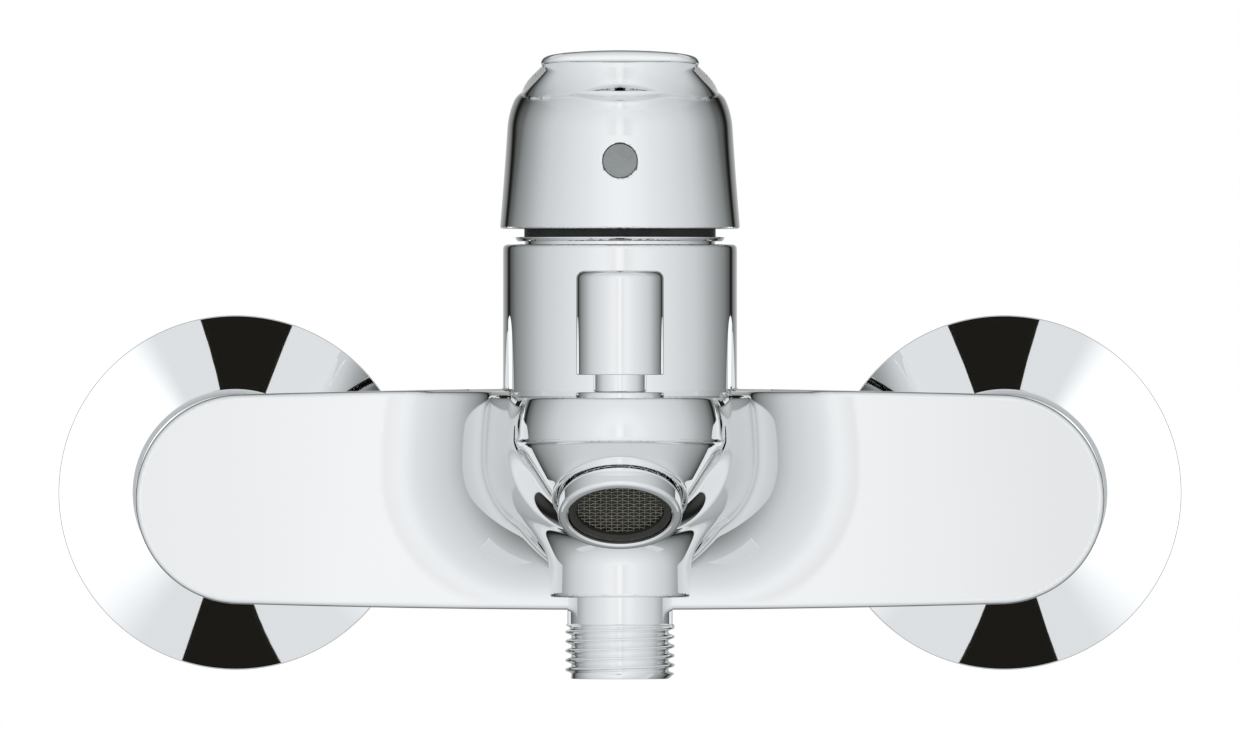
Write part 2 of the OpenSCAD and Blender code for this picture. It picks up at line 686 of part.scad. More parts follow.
// Shower outlet: screwed nipple with a non-return valve inside
nipple_end = -(outlet_boss_bottom + outlet_neck_l + outlet_thread_l);
valve_top = -17;
valve_foot = -31;
poppet_travel = 2.5;
valve_r = 6.9;
module shower_nipple() {
    neck_end = -outlet_boss_bottom - outlet_neck_l;
    color(chrome) at_diverter() rotate_extrude() polygon([
        [neck_seat_r, outlet_seat], [socket_r - fit, outlet_seat],
        [socket_r - fit, -outlet_boss_bottom], [10.1, -outlet_boss_bottom], [10.1, neck_end],
        [outlet_thread_r, neck_end], [outlet_thread_r, nipple_end], [7, nipple_end],
        [7, valve_top], [neck_seat_r, valve_top + 1.5]]);
}
module check_valve_housing() {
    color(plastic) at_diverter() difference() {
        tube(valve_r, 6, valve_foot, valve_top);
        tube(valve_r + weld, valve_r - 0.7, valve_top - 4.5, valve_top - 3);
    }
    color(plastic) at_diverter() difference() {
        translate([0, 0, valve_top - 1]) cylinder(r = 6.4, h = 1);
        translate([0, 0, valve_top - 2]) cylinder(r = 3.8, h = 3);
    }
    color(plastic) at_diverter() difference() {
        translate([0, 0, valve_foot]) cylinder(r = 6.4, h = 1);
        translate([0, 0, valve_foot - weld]) cylinder(r = 1.25 + 0.07, h = 3);
        for (i = [0 : 3]) rotate(90 * i) translate([3.7, 0, valve_foot - weld]) cylinder(r = 1.5, h = 3);
    }
}
module check_valve_poppet() {
    top = valve_top - 1.03;
    color(grey_plastic) at_diverter() {
        translate([0, 0, top - 1.4]) cylinder(r = 5.2, h = 1.4);
        translate([0, 0, valve_foot + 0.2]) cylinder(r = 1.25, h = top - valve_foot - 1);
    }
}
module check_valve_spring() {
    color(steel) at_diverter() coil_spring(3.2, 0.35, valve_foot + 1.05, valve_top - 2.5, 5);
}
module check_valve_o_ring() {
    color(rubber) at_diverter() tube(valve_r + fit, valve_r - 0.65, valve_top - 4.4, valve_top - 3.1);
}
// Aerator: a chrome ring screwed into the mouth, with a plastic insert and a screen
aerator_l = aerator_drop + mouth_depth - 1.6;
insert_r = 9.85;
screen_r = 8.3;
module at_aerator() { at_body() along_mouth() translate([0, 0, -aerator_drop]) children(); }
module aerator_housing() {
    lip = 0.8;
    color(chrome) at_aerator() rotate_extrude() polygon([[insert_r + fit, 0.3], [insert_r + 0.4, 0],
        [aerator_r - lip, 0], [aerator_r - 0.25, 0.25], [aerator_r, lip], [aerator_r, aerator_drop + 1],
        [thread_bore_r - fit, aerator_drop + 1.25], [thread_bore_r - fit, aerator_l], [9, aerator_l],
        [9, aerator_l - 1.5], [insert_r + fit, aerator_l - 1.5]]);
}
module aerator_insert() {
    top = aerator_l - 1.6;
    color(grey_plastic) at_aerator() difference() {
        translate([0, 0, 0.8]) cylinder(r = insert_r, h = top - 0.8);
        translate([0, 0, 0.8 - weld]) cylinder(r = screen_r + fit, h = weld + 1.7);
        for (i = [0 : 7]) rotate(45 * i) translate([5.2, 0, 0]) cylinder(r = 1.5, h = 20, $fn = 24);
        cylinder(r = 2, h = 20, $fn = 24);
    }
}
module aerator_screen() {
    color(grey_plastic) at_aerator() translate([0, 0, 1.8]) cylinder(r = screen_r, h = 0.6);
}
module aerator_washer() {
    color(rubber) at_aerator() tube(thread_bore_r - 0.15, 8.8, aerator_l, aerator_l + 1.5);
}
body_casting();
s_union_left();
s_union_right();
rosette_left();
rosette_right();
union_nut_left();
union_nut_right();
union_washer_left();
union_washer_right();
inlet_strainer_left();
inlet_strainer_right();
inlet_nipple_left();
inlet_nipple_right();
cartridge_base();
cartridge_port_seals();
fixed_ceramic_disc();
moving_ceramic_disc();
disc_carrier();
cartridge_housing();
cartridge_turret();
spindle();
spindle_pin();
cartridge_nut();
neck_ring();
neck_band();
handle();
handle_grub_screw();
index_plug();
diverter_gland();
diverter_knob();
diverter_rod();
diverter_valve_head();
diverter_seals();
diverter_spring();
diverter_o_rings();
shower_nipple();
check_valve_housing();
check_valve_poppet();
check_valve_spring();
check_valve_o_ring();
aerator_housing();
aerator_insert();
aerator_screen();
aerator_washer();
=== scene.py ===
import json
import math

import bmesh
import bpy
import numpy as np
from mathutils import Matrix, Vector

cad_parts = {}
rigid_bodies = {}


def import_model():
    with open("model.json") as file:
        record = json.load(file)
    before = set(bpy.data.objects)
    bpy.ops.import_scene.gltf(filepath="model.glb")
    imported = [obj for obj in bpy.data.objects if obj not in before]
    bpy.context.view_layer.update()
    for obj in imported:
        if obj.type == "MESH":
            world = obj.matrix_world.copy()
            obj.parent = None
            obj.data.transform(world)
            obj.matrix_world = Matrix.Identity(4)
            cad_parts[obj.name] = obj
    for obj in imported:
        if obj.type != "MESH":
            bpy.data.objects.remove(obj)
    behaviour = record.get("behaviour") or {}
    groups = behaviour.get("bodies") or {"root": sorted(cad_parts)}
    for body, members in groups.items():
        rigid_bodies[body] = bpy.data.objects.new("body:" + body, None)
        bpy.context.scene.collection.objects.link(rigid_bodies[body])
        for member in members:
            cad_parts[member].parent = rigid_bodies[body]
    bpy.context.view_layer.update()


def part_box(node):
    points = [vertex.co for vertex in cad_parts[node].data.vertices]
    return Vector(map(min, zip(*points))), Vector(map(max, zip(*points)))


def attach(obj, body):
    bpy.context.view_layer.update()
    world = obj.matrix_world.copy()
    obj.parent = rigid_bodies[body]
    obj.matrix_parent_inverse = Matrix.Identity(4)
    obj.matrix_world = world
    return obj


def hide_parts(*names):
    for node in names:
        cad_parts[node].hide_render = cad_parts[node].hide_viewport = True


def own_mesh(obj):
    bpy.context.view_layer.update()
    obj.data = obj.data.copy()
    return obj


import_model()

# Camera: straight at the front of the mixer, level with the tower, from so far off that the
# rosettes at the wall and the lever in front of them come out at one scale.
view_width = 0.2386
view_middle_z = 0.0310
middle_y = -0.084
lens = 850.0
camera_data = bpy.data.cameras.new("front_camera")
camera_data.sensor_width = 36.0
camera_data.lens = lens
camera_data.clip_end = 60.0
camera = bpy.data.objects.new("front_camera", camera_data)
camera.location = (0.0, middle_y - lens / camera_data.sensor_width * view_width, view_middle_z)
camera.rotation_euler = (math.radians(90), 0, 0)
bpy.context.scene.collection.objects.link(camera)
bpy.context.scene.camera = camera
bpy.context.scene.view_settings.view_transform = "Standard"

# Studio: a light tent, brightest behind the camera, that falls off to the sides and the back, dark
# cards for the rosettes to mirror, a grey filter for the crossbar's face, and a pale floor.


def linear(*display):
    """The light value of a colour that is given as it looks on a screen, 0 to 255."""
    out = []
    for value in display:
        part = value / 255.0
        out.append(part / 12.92 if part <= 0.04045 else ((part + 0.055) / 1.055) ** 2.4)
    return tuple(out) + (1.0,)


def wire(tree, *pairs):
    """Joins node outputs to inputs, each given as (node, output, node, input)."""
    for source, output, target, entry in pairs:
        tree.links.new(source.outputs[output], target.inputs[entry])


def node_of(tree, kind, *starts):
    """A new node in a tree, with start values for some inputs, each given as (input, value)."""
    node = tree.nodes.new(kind)
    for entry, value in starts:
        node.inputs[entry].default_value = value
    return node


tent = bpy.data.worlds.new("light_tent")
tent.use_nodes = True
tree = tent.node_tree
tree.nodes.clear()
direction = tree.nodes.new("ShaderNodeTexCoord")
parts = tree.nodes.new("ShaderNodeSeparateXYZ")
facing = node_of(tree, "ShaderNodeMapRange", ("From Min", 1.0), ("From Max", -1.0))
tones = tree.nodes.new("ShaderNodeValToRGB")
tones.color_ramp.interpolation = "LINEAR"
fall_off = [
    (180, (206, 208, 208)), (168, (176, 178, 178)), (156, (140, 142, 142)), (150, (118, 120, 120)),
    (147.5, (84, 86, 85)), (145, (28, 29, 27)), (141.5, (28, 29, 27)), (139, (60, 62, 60)),
    (136, (88, 91, 90)), (132, (100, 103, 103)), (129, (111, 115, 115)), (123.6, (128, 132, 133)),
    (116, (142, 146, 147)), (109, (154, 158, 159)), (102.5, (165, 169, 171)), (89, (188, 192, 194)),
    (78, (201, 205, 207)), (69, (206, 210, 212)), (51, (217, 221, 223)), (34, (226, 229, 231)),
    (20, (235, 238, 240)), (8, (241, 243, 245)), (0, (243, 245, 246)),
]
for number, (angle, colour) in enumerate(fall_off):
    place = (math.cos(math.radians(angle)) + 1) / 2
    stop = tones.color_ramp.elements[0] if number == 0 else tones.color_ramp.elements.new(place)
    if number == len(fall_off) - 1:
        tones.color_ramp.elements.remove(stop)
        stop = tones.color_ramp.elements[-1]
    stop.position = place
    stop.color = linear(*colour)
around = node_of(tree, "ShaderNodeBackground", ("Strength", 1.04))
behind = node_of(tree, "ShaderNodeBackground", ("Color", (1, 1, 1, 1)))
seen = tree.nodes.new("ShaderNodeLightPath")
choose = tree.nodes.new("ShaderNodeMixShader")
world_out = tree.nodes.new("ShaderNodeOutputWorld")
wire(
    tree,
    (direction, "Generated", parts, 0), (parts, "Y", facing, "Value"), (facing, "Result", tones, "Fac"),
    (tones, "Color", around, "Color"), (seen, "Is Camera Ray", choose, 0), (around, 0, choose, 1),
    (behind, 0, choose, 2), (choose, 0, world_out, 0),
)
bpy.context.scene.world = tent


def placed(name, data):
    """A new object in the scene."""
    item = bpy.data.objects.new(name, data)
    bpy.context.scene.collection.objects.link(item)
    return item


def sheet_of(name, corners, material):
    """One flat four-cornered sheet for the studio, which only its own material lights."""
    data = bpy.data.meshes.new(name)
    data.from_pydata(corners, [], [(0, 1, 2, 3)])
    data.materials.append(material)
    item = placed(name, data)
    return item


def studio_material(name):
    """An empty material with its output, for the pieces of the studio."""
    material = bpy.data.materials.new(name)
    material.use_nodes = True
    material.node_tree.nodes.clear()
    return material, material.node_tree, material.node_tree.nodes.new("ShaderNodeOutputMaterial")


def unseen(item):
    """A sheet that only shows in what the polished pieces mirror."""
    item.visible_camera = False
    item.visible_diffuse = False
    item.visible_shadow = False
    return item


card_x, card_back_y, card_front_y = 0.0776, -0.0911, -0.1332
# Name and height of each card, and how far it reaches out and in at its back, then at its front
cards = (("card_over", 0.146, (0.0344, 0.0539), (0.0180, 0.0425)),
         ("card_under", -0.134, (0.0460, 0.0528), (0.0418, 0.0129)))


def card_pair(name, height, back, front, material):
    """Two flat sheets, one over or under each rosette."""
    pair = []
    for side in (-1, 1):
        middle = card_x * side
        pair.append(unseen(sheet_of(name, [
            (middle + side * front[0], card_front_y, height),
            (middle - side * front[1], card_front_y, height),
            (middle - side * back[1], card_back_y, height),
            (middle + side * back[0], card_back_y, height)], material)))
    return pair


card_black, tree, out = studio_material("card_black")
glow = node_of(tree, "ShaderNodeEmission", ("Color", linear(28, 27, 23)))
wire(tree, (glow, 0, out, 0))
for name, height, back, front in cards:
    card_pair(name, height, back, front, card_black)

# The filter hangs before the lens: darker to its right, and clear towards its upper and lower rims
filter_half_x, filter_half_z, filter_y = 0.5, 0.4, -1.2
filter_clear_z = 0.05
filter_grey, tree, out = studio_material("filter_grey")
place = tree.nodes.new("ShaderNodeTexCoord")
parts = tree.nodes.new("ShaderNodeSeparateXYZ")
across = node_of(tree, "ShaderNodeMapRange", ("From Min", -filter_half_x), ("From Max", filter_half_x))
depths = tree.nodes.new("ShaderNodeValToRGB")
glass = tree.nodes.new("ShaderNodeBsdfTransparent")
for number, (x, part) in enumerate((
        (-0.5, 1.0), (-0.33, 0.99), (-0.112, 0.91), (-0.088, 0.94), (-0.06, 0.985), (0, 1.0),
        (0.035, 0.98), (0.06, 0.95), (0.085, 0.9), (0.104, 0.87), (0.33, 0.98), (0.5, 1.0))):
    stop = depths.color_ramp.elements[number] if number < 2 else depths.color_ramp.elements.new(0.99)
    stop.position = (x + filter_half_x) / (2 * filter_half_x)
    stop.color = (part, part, part, 1)
off_level = tree.nodes.new("ShaderNodeMath")
off_level.operation = "ABSOLUTE"
thin_out = node_of(tree, "ShaderNodeMapRange", ("From Min", filter_half_z), ("From Max", filter_clear_z))
thin_out.interpolation_type = "SMOOTHSTEP"
tint = tree.nodes.new("ShaderNodeMix")
tint.data_type = "RGBA"
tint.inputs[6].default_value = (1, 1, 1, 1)
wire(
    tree,
    (place, "Object", parts, 0), (parts, "X", across, "Value"), (across, 0, depths, 0),
    (parts, "Z", off_level, 0), (off_level, 0, thin_out, "Value"), (thin_out, 0, tint, 0),
    (depths, 0, tint, 7), (tint, 2, glass, 0), (glass, 0, out, 0),
)
unseen(sheet_of("lens_filter", [
    (-filter_half_x, filter_y, -filter_half_z), (filter_half_x, filter_y, -filter_half_z),
    (filter_half_x, filter_y, filter_half_z), (-filter_half_x, filter_y, filter_half_z)], filter_grey))

floor_pale, tree, out = studio_material("floor_pale")
place = tree.nodes.new("ShaderNodeTexCoord")
reach = tree.nodes.new("ShaderNodeVectorMath")
reach.operation = "LENGTH"
fade = node_of(tree, "ShaderNodeMapRange", ("From Min", 0.25), ("From Max", 0.9))
fade.interpolation_type = "SMOOTHSTEP"
side = tree.nodes.new("ShaderNodeNewGeometry")
clear = tree.nodes.new("ShaderNodeMath")
clear.operation = "MAXIMUM"
paint = node_of(tree, "ShaderNodeBsdfDiffuse", ("Color", (0.93, 0.93, 0.92, 1)))
through = tree.nodes.new("ShaderNodeBsdfTransparent")
either = tree.nodes.new("ShaderNodeMixShader")
wire(
    tree,
    (place, "Object", reach, 0), (reach, "Value", fade, "Value"), (fade, "Result", clear, 0),
    (side, "Backfacing", clear, 1), (clear, 0, either, 0), (paint, 0, either, 1), (through, 0, either, 2),
    (either, 0, out, 0),
)
floor = sheet_of("floor", [(-1, -1, 0), (1, -1, 0), (1, 1, 0), (-1, 1, 0)], floor_pale)
floor.location = (0, -0.08, -0.10)
floor.visible_glossy = False

# Body: a brass sand casting in one piece, crossbar, cartridge tower, spout and hose outlet, turned
# out inside, ground and polished and chrome plated. Sizes are in millimetres off the inlet axis.
lift = 6.0
inlet_x = 75.0
axis_y = -60.5
bar_back, bar_front = -37.0, -84.0
bar_middle_z = -0.925
bar_half_h, bar_end_r, bar_end_x = 21.025, 19.9, 73.1
bar_arc_r, bar_edge_r = 2395.4, 0.7
inlet_boss_r, inlet_boss_back, inlet_boss_front = 18.4, -34.0, -50.0
tower_r, tower_top = 22.6, 48.2
spout_r, spout_z, spout_top = 19.2, 11.7, 18.65
nose_y = -138.8
trumpet_r = 16.3
root_length, root_spread = 55.0, 11.2
belly_z, belly_root_bend, belly_nose_bend = -8.5, 13.0, 6.2
crease_z, crease_fall = 10.4, 0.05
chin_tilt = math.radians(33)
chin_front, chin_back, chin_half, chin_taper = 18.9, 18.7, 19.2, 7.4
mouth = np.array([0.0, -143.8, -0.8])
mouth_out = np.array([0.0, -math.sin(chin_tilt), -math.cos(chin_tilt)])
mouth_rim_r, mouth_bore_r, mouth_thread_r = 12.95, 12.45, 11.95
mouth_lip = 0.5
outlet_y = -100.0
outlet_boss_r, outlet_boss_end = 13.65, -19.65
land_rise, land_half, land_ramp = 1.45, 19.4, 2.6
cartridge_bore_r, nut_bore_r, nut_bore_z = 17.6, 18.75, 32.0
gland_bore_r, gland_bore_z, valve_bore_z = 8.05, 5.0, -11.0
seat_r, seat_z, seat_half = 5.5, 3.0, 3.0
nipple_bore_r, nipple_bore_z = 9.55, -10.0
inlet_bore_r, inlet_bore_y, inlet_way_r, inlet_way_y = 10.05, -44.0, 7.5, -60.0


def soft_min(a, b, k):
    """The union of two shapes, with a blend about k millimetres wide where they meet."""
    h = np.maximum(k - np.abs(a - b), 0) / k
    return np.minimum(a, b) - h * h * k / 4


def soft_max(a, b, k):
    """What two shapes share, with its edge rounded over about k millimetres."""
    return -soft_min(-a, -b, k)


def round_edge(a, b, r):
    """What two shapes share, with its edge turned into an arc of radius r."""
    out = np.hypot(np.maximum(a + r, 0), np.maximum(b + r, 0)) - r
    return out + np.minimum(np.maximum(a, b) + r, 0)


def fillet(a, b, r):
    """The union of two shapes, with a round hollow fillet of radius r in the corner."""
    deep = np.hypot(np.maximum(r - a, 0), np.maximum(r - b, 0))
    return np.maximum(np.minimum(a, b), r) - deep


def upright(p, y, r):
    """How far a point is outside a round bar of radius r that stands at depth y."""
    return np.hypot(p[0], p[1] - y) - r


def bar_outline(p):
    """How far a point is outside the crossbar's oblong, seen from the front."""
    x, z = np.abs(p[0]), np.abs(p[2] - bar_middle_z)
    drop = bar_arc_r - bar_half_h
    on_arc = np.arctan2(x, z + drop) < math.atan2(bar_end_x, drop)
    return np.where(on_arc, np.hypot(x, z + drop) - bar_arc_r, np.hypot(x - bar_end_x, z) - bar_end_r)


def ease(t):
    """Runs smoothly from 0 to 1 while t does."""
    t = np.clip(t, 0, 1)
    return t * t * (3 - 2 * t)


def crease_at(p):
    """Height of the crease between nose and chin, which sinks a little towards the wall."""
    return crease_z + 0.2 - crease_fall * (p[1] - nose_y + spout_r)


def beyond_mouth(p):
    """How far a point is out of the mouth's plane, along the mouth's axis."""
    return (p[1] - mouth[1]) * mouth_out[1] + (p[2] - mouth[2]) * mouth_out[2]


def chin(p):
    """The spout's underside: straight from the crease down to the mouth, and turned with it."""
    hinge_y = mouth[1] - (crease_z - mouth[2]) * math.cos(chin_tilt) / math.sin(chin_tilt)
    y, z = p[1] - hinge_y, crease_z - p[2]
    turn = np.clip(np.arctan2(z, y), 0, 1.3 * chin_tilt)
    front, back = nose_y - chin_front - hinge_y, nose_y + chin_back - hinge_y
    at_end = math.hypot(mouth[1] - hinge_y, crease_z - mouth[2])
    reach = []
    for first, last in ((front, at_end - mouth_rim_r), (back, at_end + mouth_rim_r)):
        u, v = last * math.cos(chin_tilt) - first, last * math.sin(chin_tilt)
        reach.append(v * first / (v * np.cos(turn) - u * np.sin(turn)))
    centre, deep = (reach[0] + reach[1]) / 2, (reach[1] - reach[0]) / 2
    wide = soft_max(chin_half - chin_taper * turn / chin_tilt, mouth_rim_r - 0.05, 1.0)
    round_ = (np.hypot(p[0] / wide, (np.hypot(y, z) - centre) / deep) - 1) * 0.93 * wide
    return np.maximum(soft_max(round_, beyond_mouth(p) + mouth_lip, 0.25), p[2] - crease_at(p))


def spout_body(p):
    """The spout behind the chin: broad at its root, with a ball for a nose, and a round belly."""
    s = np.clip((bar_front - p[1]) / root_length, 0, 1)
    half = spout_r + root_spread * np.maximum(1 - s, 1e-6) ** 1.6
    bend = belly_root_bend + belly_nose_bend * s
    centre = belly_z + s + bend
    bulge = 0.006 + 0.0213 * ease((s - 0.6) / 0.4)
    out = np.abs(p[0]) - half + bend + bulge * np.maximum(p[2] - centre, 0) ** 2
    down = centre - p[2]
    round_ = np.hypot(np.maximum(out, 0), np.maximum(down, 0)) + np.minimum(np.maximum(out, down), 0) - bend
    round_ = round_ + 2.6 * ease((-118 - p[1]) / 18) * ease((crease_z - p[2]) / 7)
    ball = np.sqrt(p[0] ** 2 + (p[1] - nose_y) ** 2 + (p[2] - spout_z) ** 2) - spout_r
    return np.where(p[1] < nose_y, ball, round_)


def joined(first, *others):
    """Everything that is in one or more of the shapes."""
    for other in others:
        first = np.minimum(first, other)
    return first


def casting(p):
    """How far a point is outside the whole casting."""
    outline = bar_outline(p)
    across = np.maximum(p[1] - bar_back, bar_front - p[1])
    bar = round_edge(outline, across, bar_edge_r)
    for x in (-inlet_x, inlet_x):
        boss = np.maximum(np.hypot(p[0] - x, p[2]) - inlet_boss_r, p[1] - inlet_boss_back)
        bar = np.minimum(bar, np.maximum(boss, inlet_boss_front - p[1]))
    tower = soft_max(upright(p, axis_y, tower_r), p[2] - tower_top, 0.9)
    tower = np.maximum(tower, -p[2])
    # The spout with its trumpet into the crossbar's face, and the hose outlet under it
    under = np.minimum(crease_at(p) - p[2], nose_y + 3 - p[1])
    blend = 0.7 + 4.5 * ease((p[1] + 150) / 25)
    spout = soft_min(soft_max(spout_body(p), under, 0.4), chin(p), blend)
    boss = soft_max(upright(p, outlet_y, outlet_boss_r), outlet_boss_end - p[2], 0.6)
    boss = np.maximum(boss, p[2] - 6)
    front = fillet(spout, bar_front + 0.5 - p[1], trumpet_r)
    front = fillet(front, boss, 6.0)
    front = soft_max(front, outline + 0.05, 1.2)
    body = soft_min(bar, np.maximum(front, p[1] + 60), 1.2)
    land = p[2] - spout_top - land_rise * ease((np.abs(p[0]) - land_half) / land_ramp)
    body = np.where(p[1] < axis_y, soft_max(body, land, 0.5), body)
    body = fillet(body, tower, 0.35)
    # Chambers and bores: cartridge, diverter, hose outlet, mouth and the two inlets
    valve = np.maximum(p[2] - seat_z, valve_bore_z - p[2])
    depth = beyond_mouth(p)
    off_squared = (p[1] - mouth[1]) ** 2 + (p[2] - mouth[2]) ** 2 - depth**2 + p[0] ** 2
    off = np.sqrt(np.maximum(off_squared, 0))
    holes = joined(
        np.maximum(upright(p, axis_y, cartridge_bore_r), -p[2]),
        np.maximum(upright(p, axis_y, nut_bore_r), nut_bore_z - p[2]),
        np.maximum(upright(p, outlet_y, gland_bore_r), gland_bore_z - p[2]),
        np.maximum(upright(p, outlet_y, gland_bore_r), valve),
        np.maximum(upright(p, outlet_y, seat_r), np.abs(p[2] - seat_z) - seat_half),
        np.maximum(upright(p, outlet_y, nipple_bore_r), p[2] - nipple_bore_z),
        np.maximum(off - mouth_bore_r, -1.2 - depth),
        np.maximum(off - mouth_thread_r, -12 - depth),
    )
    for x in (-inlet_x, inlet_x):
        off = np.hypot(p[0] - x, p[2])
        holes = joined(holes, np.maximum(off - inlet_bore_r, inlet_bore_y - p[1]),
                       np.maximum(off - inlet_way_r, inlet_way_y - p[1]))
    return soft_max(body, -holes, 0.4)


def lean(field, p):
    """The direction in which a shape's distance grows, which is its surface's outward normal."""
    step = 0.02
    rise = []
    for axis in range(3):
        more, less = [q.copy() for q in p], [q.copy() for q in p]
        more[axis] += step
        less[axis] -= step
        rise.append((field(more) - field(less)) / (2 * step))
    return np.array(rise)


def skin(field, low, high, cell):
    """Points and four-sided faces on the surface of a shape that is mirrored about x = 0."""
    x = (np.arange(int(high[0] / cell) + 2) + 0.5) * cell
    y = np.arange(low[1], high[1] + cell, cell)
    z = np.arange(low[2], high[2] + cell, cell)
    half = np.empty((len(x), len(y), len(z)), np.float32)
    for n in range(0, len(x), 8):
        half[n:n + 8] = field(list(np.meshgrid(x[n:n + 8], y, z, indexing="ij")))
    value = np.concatenate([half[::-1], half])
    x = np.concatenate([-x[::-1], x])
    inside = value < 0
    shape = np.array(value.shape) - 1
    total = np.zeros((*shape, 3), np.float32)
    count = np.zeros(tuple(shape), np.int8)
    corner = [np.array(c) for c in np.ndindex(2, 2, 2)]
    for a in corner:
        for axis in range(3):
            if a[axis]:
                continue
            b = a.copy()
            b[axis] = 1
            here = tuple(slice(s, s + n) for s, n in zip(a, shape))
            there = tuple(slice(s, s + n) for s, n in zip(b, shape))
            crossed = inside[here] != inside[there]
            va, vb = value[here][crossed], value[there][crossed]
            at = np.repeat(a[None].astype(np.float32), len(va), 0)
            at[:, axis] = va / (va - vb)
            total[crossed] += at
            count[crossed] += 1
    used = count > 0
    number = np.full(tuple(shape), -1, np.int64)
    number[used] = np.arange(used.sum())
    cells = np.argwhere(used)
    local = cells + total[used] / count[used][:, None]
    points = np.stack([np.interp(local[:, i], np.arange(len(g)), g) for i, g in enumerate((x, y, z))])
    faces = []
    for axis in range(3):
        u, v = (axis + 1) % 3, (axis + 2) % 3
        size = np.array(value.shape)
        size[axis] -= 1
        here = [slice(0, s) for s in size]
        there = list(here)
        there[axis] = slice(1, size[axis] + 1)
        crossed = np.argwhere(inside[tuple(here)] != inside[tuple(there)])
        keep = (crossed[:, u] > 0) & (crossed[:, v] > 0)
        keep &= (crossed[:, u] < value.shape[u] - 1) & (crossed[:, v] < value.shape[v] - 1)
        crossed = crossed[keep]
        ring = []
        for du, dv in ((1, 1), (0, 1), (0, 0), (1, 0)):
            at = crossed.copy()
            at[:, u] -= du
            at[:, v] -= dv
            ring.append(number[tuple(at.T)])
        ring = np.stack(ring, 1)
        out_first = inside[tuple(crossed.T)]
        ring[~out_first] = ring[~out_first][:, ::-1]
        faces.append(ring)
    return settle(field, points, cell), np.concatenate(faces)


def settle(field, points, reach):
    """Moves points along the shape's normal until they lie on its surface."""
    for _ in range(4):
        p = [points[i] for i in range(3)]
        slope = lean(field, p)
        move = field(p) * slope / np.maximum((slope**2).sum(0), 0.25)
        length = np.maximum(np.sqrt((move**2).sum(0)), 1e-9)
        points = points - move * np.minimum(1, 0.5 * reach / length)
    return points


def in_place(points):
    """Millimetres off the inlet axis, turned into metres off the wall outlets."""
    return (points.T + np.array([0, 0, lift])) / 1000


def cast_piece(name, field, low, high, cell, within=None):
    """A smooth piece on the surface of a shape, or of its part within a cut, with the shape's normals."""
    whole = (lambda p: np.maximum(field(p), within(p))) if within else field
    points, faces = skin(whole, low, high, cell)
    data = bpy.data.meshes.new(name)
    data.from_pydata(in_place(points).tolist(), [], faces.tolist())
    item = placed(name, data)
    thin = item.modifiers.new("flat_faces", "DECIMATE")
    thin.decimate_type = "DISSOLVE"
    thin.angle_limit = math.radians(0.15)
    return plain(item, field)


broad_face = 60e-6


def plain(item, field=None):
    """The piece with its modifiers applied, smooth shaded, by its shape's normals if it has one."""
    view = bpy.context.evaluated_depsgraph_get()
    data = bpy.data.meshes.new_from_object(item.evaluated_get(view))
    data.name = item.name
    item.modifiers.clear()
    item.data = data
    if field:
        data.shade_smooth()
        co = np.empty(len(data.vertices) * 3)
        data.vertices.foreach_get("co", co)
        at = (co.reshape(-1, 3) * 1000 - np.array([0, 0, lift])).T
        slope = lean(field, [at[i] for i in range(3)])
        slope = slope / np.maximum(np.sqrt((slope**2).sum(0)), 1e-9)
        corner = np.empty(len(data.loops), np.int64)
        data.loops.foreach_get("vertex_index", corner)
        bent = slope.T[corner]
        # A broad flat face keeps its own normal up to its rim
        for face in data.polygons:
            if face.area > broad_face:
                bent[face.loop_start:face.loop_start + face.loop_total] = face.normal
        data.normals_split_custom_set(bent.tolist())
    return item


# Marks of polishing: a slow cloud that makes some places duller, and fine grain for the relief
polish_marks = bpy.data.node_groups.new("polish_marks", "ShaderNodeTree")
tree = polish_marks
for label in ("Roughness", "Haze", "Scale", "Depth"):
    tree.interface.new_socket(label, in_out="INPUT", socket_type="NodeSocketFloat")
for label in ("Roughness", "Height", "Haze"):
    tree.interface.new_socket(label, in_out="OUTPUT", socket_type="NodeSocketFloat")
start, end = tree.nodes.new("NodeGroupInput"), tree.nodes.new("NodeGroupOutput")
where = tree.nodes.new("ShaderNodeTexCoord")
cloud = node_of(tree, "ShaderNodeTexNoise", ("Detail", 3.0))
fine = node_of(tree, "ShaderNodeTexNoise", ("Scale", 2600.0), ("Detail", 2.0))
spread = node_of(tree, "ShaderNodeMapRange", ("From Min", 0.35), ("From Max", 0.75))
haze = tree.nodes.new("ShaderNodeMath")
haze.operation = "MULTIPLY_ADD"
bumps = tree.nodes.new("ShaderNodeMath")
bumps.operation = "MULTIPLY"
wire(
    tree,
    (where, "Object", cloud, "Vector"), (where, "Object", fine, "Vector"), (start, "Scale", cloud, "Scale"),
    (cloud, "Fac", spread, "Value"), (spread, "Result", haze, 0), (start, "Haze", haze, 1),
    (start, "Roughness", haze, 2), (haze, 0, end, "Roughness"), (fine, "Fac", bumps, 0),
    (start, "Depth", bumps, 1), (bumps, 0, end, "Height"), (spread, "Result", end, "Haze"),
)


